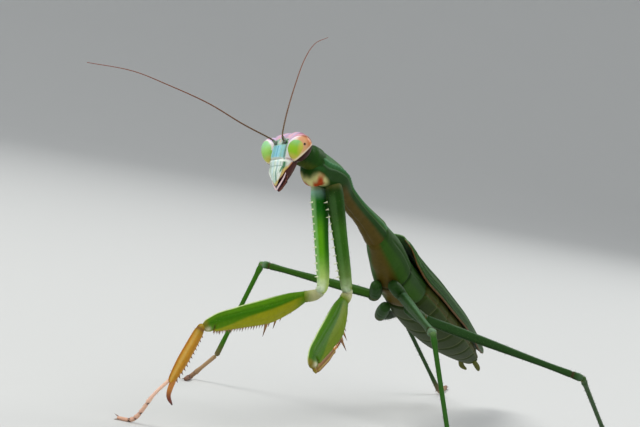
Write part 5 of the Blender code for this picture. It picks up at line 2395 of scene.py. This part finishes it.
    def foot(self) -> list[bpy.types.Object]:
        """The slender foot: the right one stands on the floor, the left one is folded back.

        Returns:
            The objects.
        """
        outer = unit(np.cross(self.shin, self.lower))
        if outer @ PROTHORAX.left > 0:
            outer = -outer
        if self.side is Side.RIGHT:
            start = self.wrist + outer * 0.3 - self.lower * 0.55 - self.shin * 0.25
            touch = np.array([-13.2, -37.55, 0.6])
            first = self.wrist - self.shin * 0.35 - self.lower * 0.2 + outer * 0.1
            points = [first, start * 0.6 + touch * 0.4, touch, np.array([-15.3, -38.1, 0.22])]
            return Foot(Line(points, (1, 0, 0.3)), slim=0.72).pieces(self.spines, "right_fore_foot")
        start = self.wrist + outer * 1.05
        crossing = start - self.inner * 1.0 - self.thigh * 1.5 + outer * 0.5
        end = crossing - self.inner * 0.3 - self.thigh * 3.6 + outer * 0.2
        line = Line([self.wrist + outer * 0.2, start * 0.7 + crossing * 0.3, crossing, end], self.lower)
        folded_foot = Foot(line, False, dye(110, 70, 40), dye(84, 50, 36), 0.7)
        return folded_foot.pieces(self.spines, "left_fore_foot")

    def build(self, bristles: Bristles) -> None:
        """Makes the leg's pieces and hangs them on the frame.

        Args:
            bristles: the tree that scatters fine hairs.
        """
        word = self.side.word
        slots = {"fore_tibia_": "foretibia_gold" if self.side is Side.RIGHT else "foretibia_brown"}
        made = (
            ("fore_coxa_", self.coxa()),
            ("fore_trochanter_", [self.trochanter()]),
            ("fore_femur_", self.femur()),
            ("fore_tibia_", self.tibia()),
            ("fore_tarsus_", self.foot()),
        )
        for title, pieces in made:
            slot = "tarsus_peach" if "tarsus" in title else slots.get(title, "foreleg_green")
            for number, piece in enumerate(pieces):
                renamed(piece, "{}_{}{}".format(piece.name.split(".")[0], title, word))
                settle(piece, slot, *((title + word,) if number == 0 else ()))
            if title != "fore_trochanter_":
                bristles.cover(pieces[0], title + word, slot, 3.0, 0.24, 7, dye(116, 132, 60))


# ------------------------------------------------------------------ the walking legs


@dataclass(frozen=True)
class Stride:
    """Where one walking leg stands: its root and hip behind, left of and above the waist."""

    pair: str
    side: Side
    root: tuple[float, float, float]
    hip: tuple[float, float, float]
    femur: tuple[float, float, float]
    tibia: tuple[float, float]
    ankle: float
    foot: tuple[float, float, float]
    radius: float


STRIDES = (
    Stride(
        "mid", Side.LEFT, (2.4, 1.2, -6.9), (5.0, 1.9, -7.5),
        (17.9, -53.5, -9.4), (16.4, 0.0), 0.6, (8.0, 20.0, -15.0), 0.72,
    ),
    Stride(
        "mid", Side.RIGHT, (2.8, -1.2, -7.0), (5.6, -2.2, -7.6),
        (17.9, 178.4, 2.8), (16.4, 150.0), 4.3, (8.6, 178.0, -76.0), 0.72,
    ),
    Stride(
        "hind", Side.LEFT, (9.4, 1.6, -7.9), (13.0, 3.0, -8.1),
        (25.5, 36.1, -10.8), (24.0, 91.0), 0.8, (11.0, 84.0, 70.0), 0.78,
    ),
    Stride(
        "hind", Side.RIGHT, (9.4, -1.6, -7.9), (13.0, -3.4, -8.1),
        (25.5, 104.0, -3.0), (24.0, 86.0), 0.8, (11.0, 92.0, 104.0), 0.78,
    ),
)


@dataclass
class WalkingLeg:
    """One walking leg: coxa, ridged femur, thin tibia and a foot on the floor."""

    stride: Stride
    spines: Spines

    def __post_init__(self) -> None:
        """Works out the leg's joints."""
        plan = self.stride
        back, left, up = plan.root
        self.root = HIND_BODY.at(back, -left, up)
        back, left, up = plan.hip
        self.hip = HIND_BODY.at(back, -left, up)
        length, azimuth, elevation = plan.femur
        self.knee = self.hip + direction(azimuth, elevation) * length
        shin_length, shin_azimuth = plan.tibia
        fall = -math.degrees(math.asin((self.knee[2] - plan.ankle) / shin_length))
        self.ankle = self.knee + direction(shin_azimuth, fall) * shin_length
        self.thigh = unit(self.knee - self.hip)
        self.shin = unit(self.ankle - self.knee)

    def coxa(self) -> bpy.types.Object:
        """The short thick joint at the body, with the ring at the femur's foot.

        Returns:
            The object.
        """
        end = self.hip + self.thigh * 0.9
        line = Line([self.root - unit(self.hip - self.root) * 0.3, self.hip - self.thigh * 0.1, end], (0, 0, 1))
        surface = Limb(line, Contour((0, 0.7), (0.4, 0.9), (0.8, 0.8), (1, 0.7)), 1.0, 0.8).skin(60, 40)
        surface = surface.raised(-0.09 * bump(0.72, 0.03, surface.t) - 0.05 * bump(0.4, 0.03, surface.t))
        tint = surface.plain(32, 64, 18)
        tint = over(tint, dye(96, 74, 30), bump(0.72, 0.04, surface.t) * 0.8)
        return dress("coxa_joint", surface, tint, Coat.LEG)

    def femur(self) -> bpy.types.Object:
        """The femur with its four ridges and a painted highlight at the knee.

        Returns:
            The object.
        """
        bend = sine_between(self.thigh, self.shin)
        start, end = trimmed(self.hip, self.knee, 0.1, 0.1 * bend)
        r = self.stride.radius
        radius = Contour((0, r * 0.9), (0.2, r * 0.95), (0.8, r * 0.62), (0.96, r * 0.74), (1, r * 0.7))
        surface = Limb(Line([start, end], (0, 0, 1)), radius, 1.0, 0.7, ridge=0.07).skin(170, 56)
        t, rise = surface.t, np.sin(surface.angle)
        lobes = 0.09 * bump(0.975, 0.014, t) * np.abs(np.cos(surface.angle))
        surface = surface.raised(lobes - 0.08 * bump(0.93, 0.008, t))
        mid = self.stride.pair == "mid"
        right = self.stride.side is Side.RIGHT
        base = dye(44, 84, 10) if mid and right else dye(44, 76, 34) if mid else dye(33, 68, 22)
        tint = layered(
            np.broadcast_to(base, t.shape + (3,)),
            ((84, 122, 88), ease(0.75, 1.0, rise) * 0.6),
            ((22, 42, 10), ease(-0.2, -0.8, rise) * 0.6),
            # painted highlight: pale teal-white at the knee, strong on the mid legs, faint on the hind ones
            ((120, 150, 120), ease(0.94, 0.98, t) * (0.6 if mid else 0.2)),
        )
        return dress("femur_shaft", surface, over(tint, dye(70, 40, 26), bump(0.93, 0.008, t) * 0.8), Coat.LEG)

    def tibia(self) -> bpy.types.Object:
        """The thin tibia, wider at its two ends.

        Returns:
            The object.
        """
        bend = sine_between(self.thigh, self.shin)
        start, end = trimmed(self.knee, self.ankle, -0.35 * bend, -0.05)
        radius = Contour((0, 0.44), (0.06, 0.45), (0.14, 0.34), (0.7, 0.31), (0.95, 0.38), (1, 0.37))
        surface = Limb(Line([start, end], self.thigh), radius, 1.0, 0.8, ridge=0.05).skin(150, 40)
        t = surface.t
        surface = surface.raised(-0.06 * bump(0.05, 0.012, t))
        mid = self.stride.pair == "mid"
        right = self.stride.side is Side.RIGHT
        base = dye(54, 110, 8) if mid and right else dye(44, 92, 24) if mid else dye(36, 70, 22)
        tint = layered(
            np.broadcast_to(base, t.shape + (3,)),
            # painted highlight: the knee's pale carried onto the tibia's top
            ((110, 136, 90), ease(0.06, 0.0, t) * (0.6 if mid else 0.2)),
            ((116, 92, 66), ease(0.82, 1.0, t) * 0.85),
        )
        return dress("tibia_shaft", surface, tint, Coat.LEG)

    def spurs(self) -> bpy.types.Object:
        """The two spurs at the tibia's foot and the spine at the femur's knee.

        Returns:
            The object.
        """
        bed = SpineBed()
        across = unit(np.cross(self.shin, self.thigh))
        for side in (across, -across):
            bed.plant(self.ankle - self.shin * 0.3 + side * 0.3, self.shin * 0.75 + side * 0.3, self.shin, 0.1)
            bed.plant(self.knee - self.thigh * 0.5 + side * 0.4, self.thigh * 0.7 + side * 0.12, -self.shin, 0.1)
        return bed.grow("spurs", self.spines, dye(120, 110, 70), dye(50, 26, 18), bend=0.4)

    def foot(self) -> list[bpy.types.Object]:
        """The foot that lies on the floor.

        Returns:
            The objects.
        """
        plan = self.stride
        length, leaving, lying = plan.foot
        outwards = direction(leaving, 0)
        touch = self.ankle + outwards * (plan.ankle * 0.64 + 0.8)
        touch[2] = 0.42
        tip = touch + direction(lying, 0) * (length - float(np.linalg.norm(touch - self.ankle)))
        tip[2] = 0.3
        start = self.ankle + outwards * 0.1
        start[2] = max(plan.ankle - 0.1, 0.45)
        line = Line([start, touch, (touch + tip) / 2, tip], (0, 0, 1))
        return Foot(line, True, dye(168, 138, 104), dye(130, 96, 80)).pieces(self.spines, "foot")

    def build(self, bristles: Bristles) -> None:
        """Makes the leg's pieces and hangs them on the frame.

        Args:
            bristles: the tree that scatters fine hairs.
        """
        title = "{}_{{}}_{}".format(self.stride.pair, self.stride.side.word)
        femur, tibia = self.femur(), self.tibia()
        for part, pieces, slot in (
            ("coxa", [self.coxa()], "leg_green"),
            ("femur", [femur], "leg_green"),
            ("tibia", [tibia, self.spurs()], "leg_green"),
            ("tarsus", self.foot(), "tarsus_peach"),
        ):
            node = title.format(part)
            for number, piece in enumerate(pieces):
                renamed(piece, "{}_{}".format(piece.name.split(".")[0], node))
                settle(piece, slot, *((node,) if number == 0 else ()))
        for body, part in ((femur, "femur"), (tibia, "tibia")):
            bristles.cover(body, title.format(part), "leg_green", 4.0, 0.3, 11, dye(84, 100, 56))


# ------------------------------------------------------------------ the studio


@dataclass
class Studio:
    """A pale floor that rises all round, soft lights and the camera."""

    flat: float = 1.2
    rim: float = 2.6
    height: float = 1.6

    def floor(self) -> None:
        """The floor, a wide plain bowl."""
        rows = [(self.flat * step / 6, 0.0) for step in range(1, 7)]
        for step in range(1, 17):
            turn = math.pi / 2 * step / 16
            rows.append((self.flat + (self.rim - self.flat) * math.sin(turn), self.height * (1 - math.cos(turn))))
        sides = 96
        turns = [2 * math.pi * side / sides for side in range(sides)]
        points = [(0.0, 0.0, 0.0)]
        for radius, level in rows:
            points += [(radius * math.cos(turn), radius * math.sin(turn), level) for turn in turns]
        faces: list[tuple[int, ...]] = [(0, 1 + side, 1 + (side + 1) % sides) for side in range(sides)]
        faces += [(a + 1, d + 1, c + 1, b + 1) for a, b, c, d in quads(len(rows), sides)]
        mesh = bpy.data.meshes.new("studio_floor")
        mesh.from_pydata(points, [], faces)
        mesh.shade_smooth()
        floor = placed("studio_floor", mesh)
        material = bpy.data.materials.new("studio_paper")
        material.use_nodes = True
        shader = material.node_tree.nodes["Principled BSDF"]
        shader.inputs["Base Color"].default_value = (0.52, 0.53, 0.52, 1)
        shader.inputs["Roughness"].default_value = 0.9
        mesh.materials.append(material)

    def lights(self) -> None:
        """A soft key light above on the left, a weak fill and a rim light."""
        for name, place, size, power, colour in (
            ("key", (-0.4, -0.45, 0.8), 0.5, 6.8, (1.0, 0.98, 0.95)),
            ("fill", (0.65, -0.5, 0.3), 0.8, 2.2, (1.0, 0.98, 0.94)),
            ("rim", (0.3, 0.7, 0.6), 0.5, 4.0, (1.0, 1.0, 1.0)),
        ):
            light = bpy.data.lights.new(name, "AREA")
            light.shape = "DISK"
            light.size = size
            light.energy = power
            light.color = colour
            lamp = placed(name, light)
            lamp.location = place
            aim = Vector((0, 0, 0.025)) - lamp.location
            lamp.rotation_euler = aim.to_track_quat("-Z", "Y").to_euler()
        world = bpy.data.worlds.new("studio")
        world.use_nodes = True
        sky = world.node_tree.nodes["Background"]
        sky.inputs["Color"].default_value = (0.94, 0.96, 1.0, 1)
        sky.inputs["Strength"].default_value = 0.7
        bpy.context.scene.world = world

    def camera(self) -> None:
        """The camera before the animal's left side, at the height of its head."""
        right, up = Vector((0.8994, 0.3981, 0.1803)), Vector((-0.1794, -0.0397, 0.983))
        back = right.cross(up).normalized()
        up = back.cross(right).normalized()
        lens = bpy.data.cameras.new("camera")
        lens.lens = 102.1
        lens.sensor_width = 36
        lens.clip_start = 0.005
        camera = placed("camera", lens)
        place = Vector((90.81, -242.0, 36.76)) * MM
        camera.matrix_world = Matrix.Translation(place) @ Matrix((right.normalized(), up, back)).transposed().to_4x4()
        bpy.context.scene.camera = camera
        bpy.context.scene.view_settings.view_transform = "Standard"

    def build(self) -> None:
        """Sets the stage."""
        self.camera()
        self.floor()
        self.lights()


def main() -> None:
    """Builds every sub-assembly in order."""
    logging.basicConfig(level=logging.INFO, format="%(message)s")
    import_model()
    Studio().build()
    growers = Growers(Thread(), Veins(), Spines(), Bristles())
    Head().build()
    Eyes().build()
    Antennae().build(growers.thread)
    trunk = Trunk()
    trunk.build()
    Wings(trunk).build(growers.veins)
    for side in Side:
        Foreleg(side, growers.spines).build(growers.bristles)
    for stride in STRIDES:
        WalkingLeg(stride, growers.spines).build(growers.bristles)


if __name__ == "__main__":
    main()
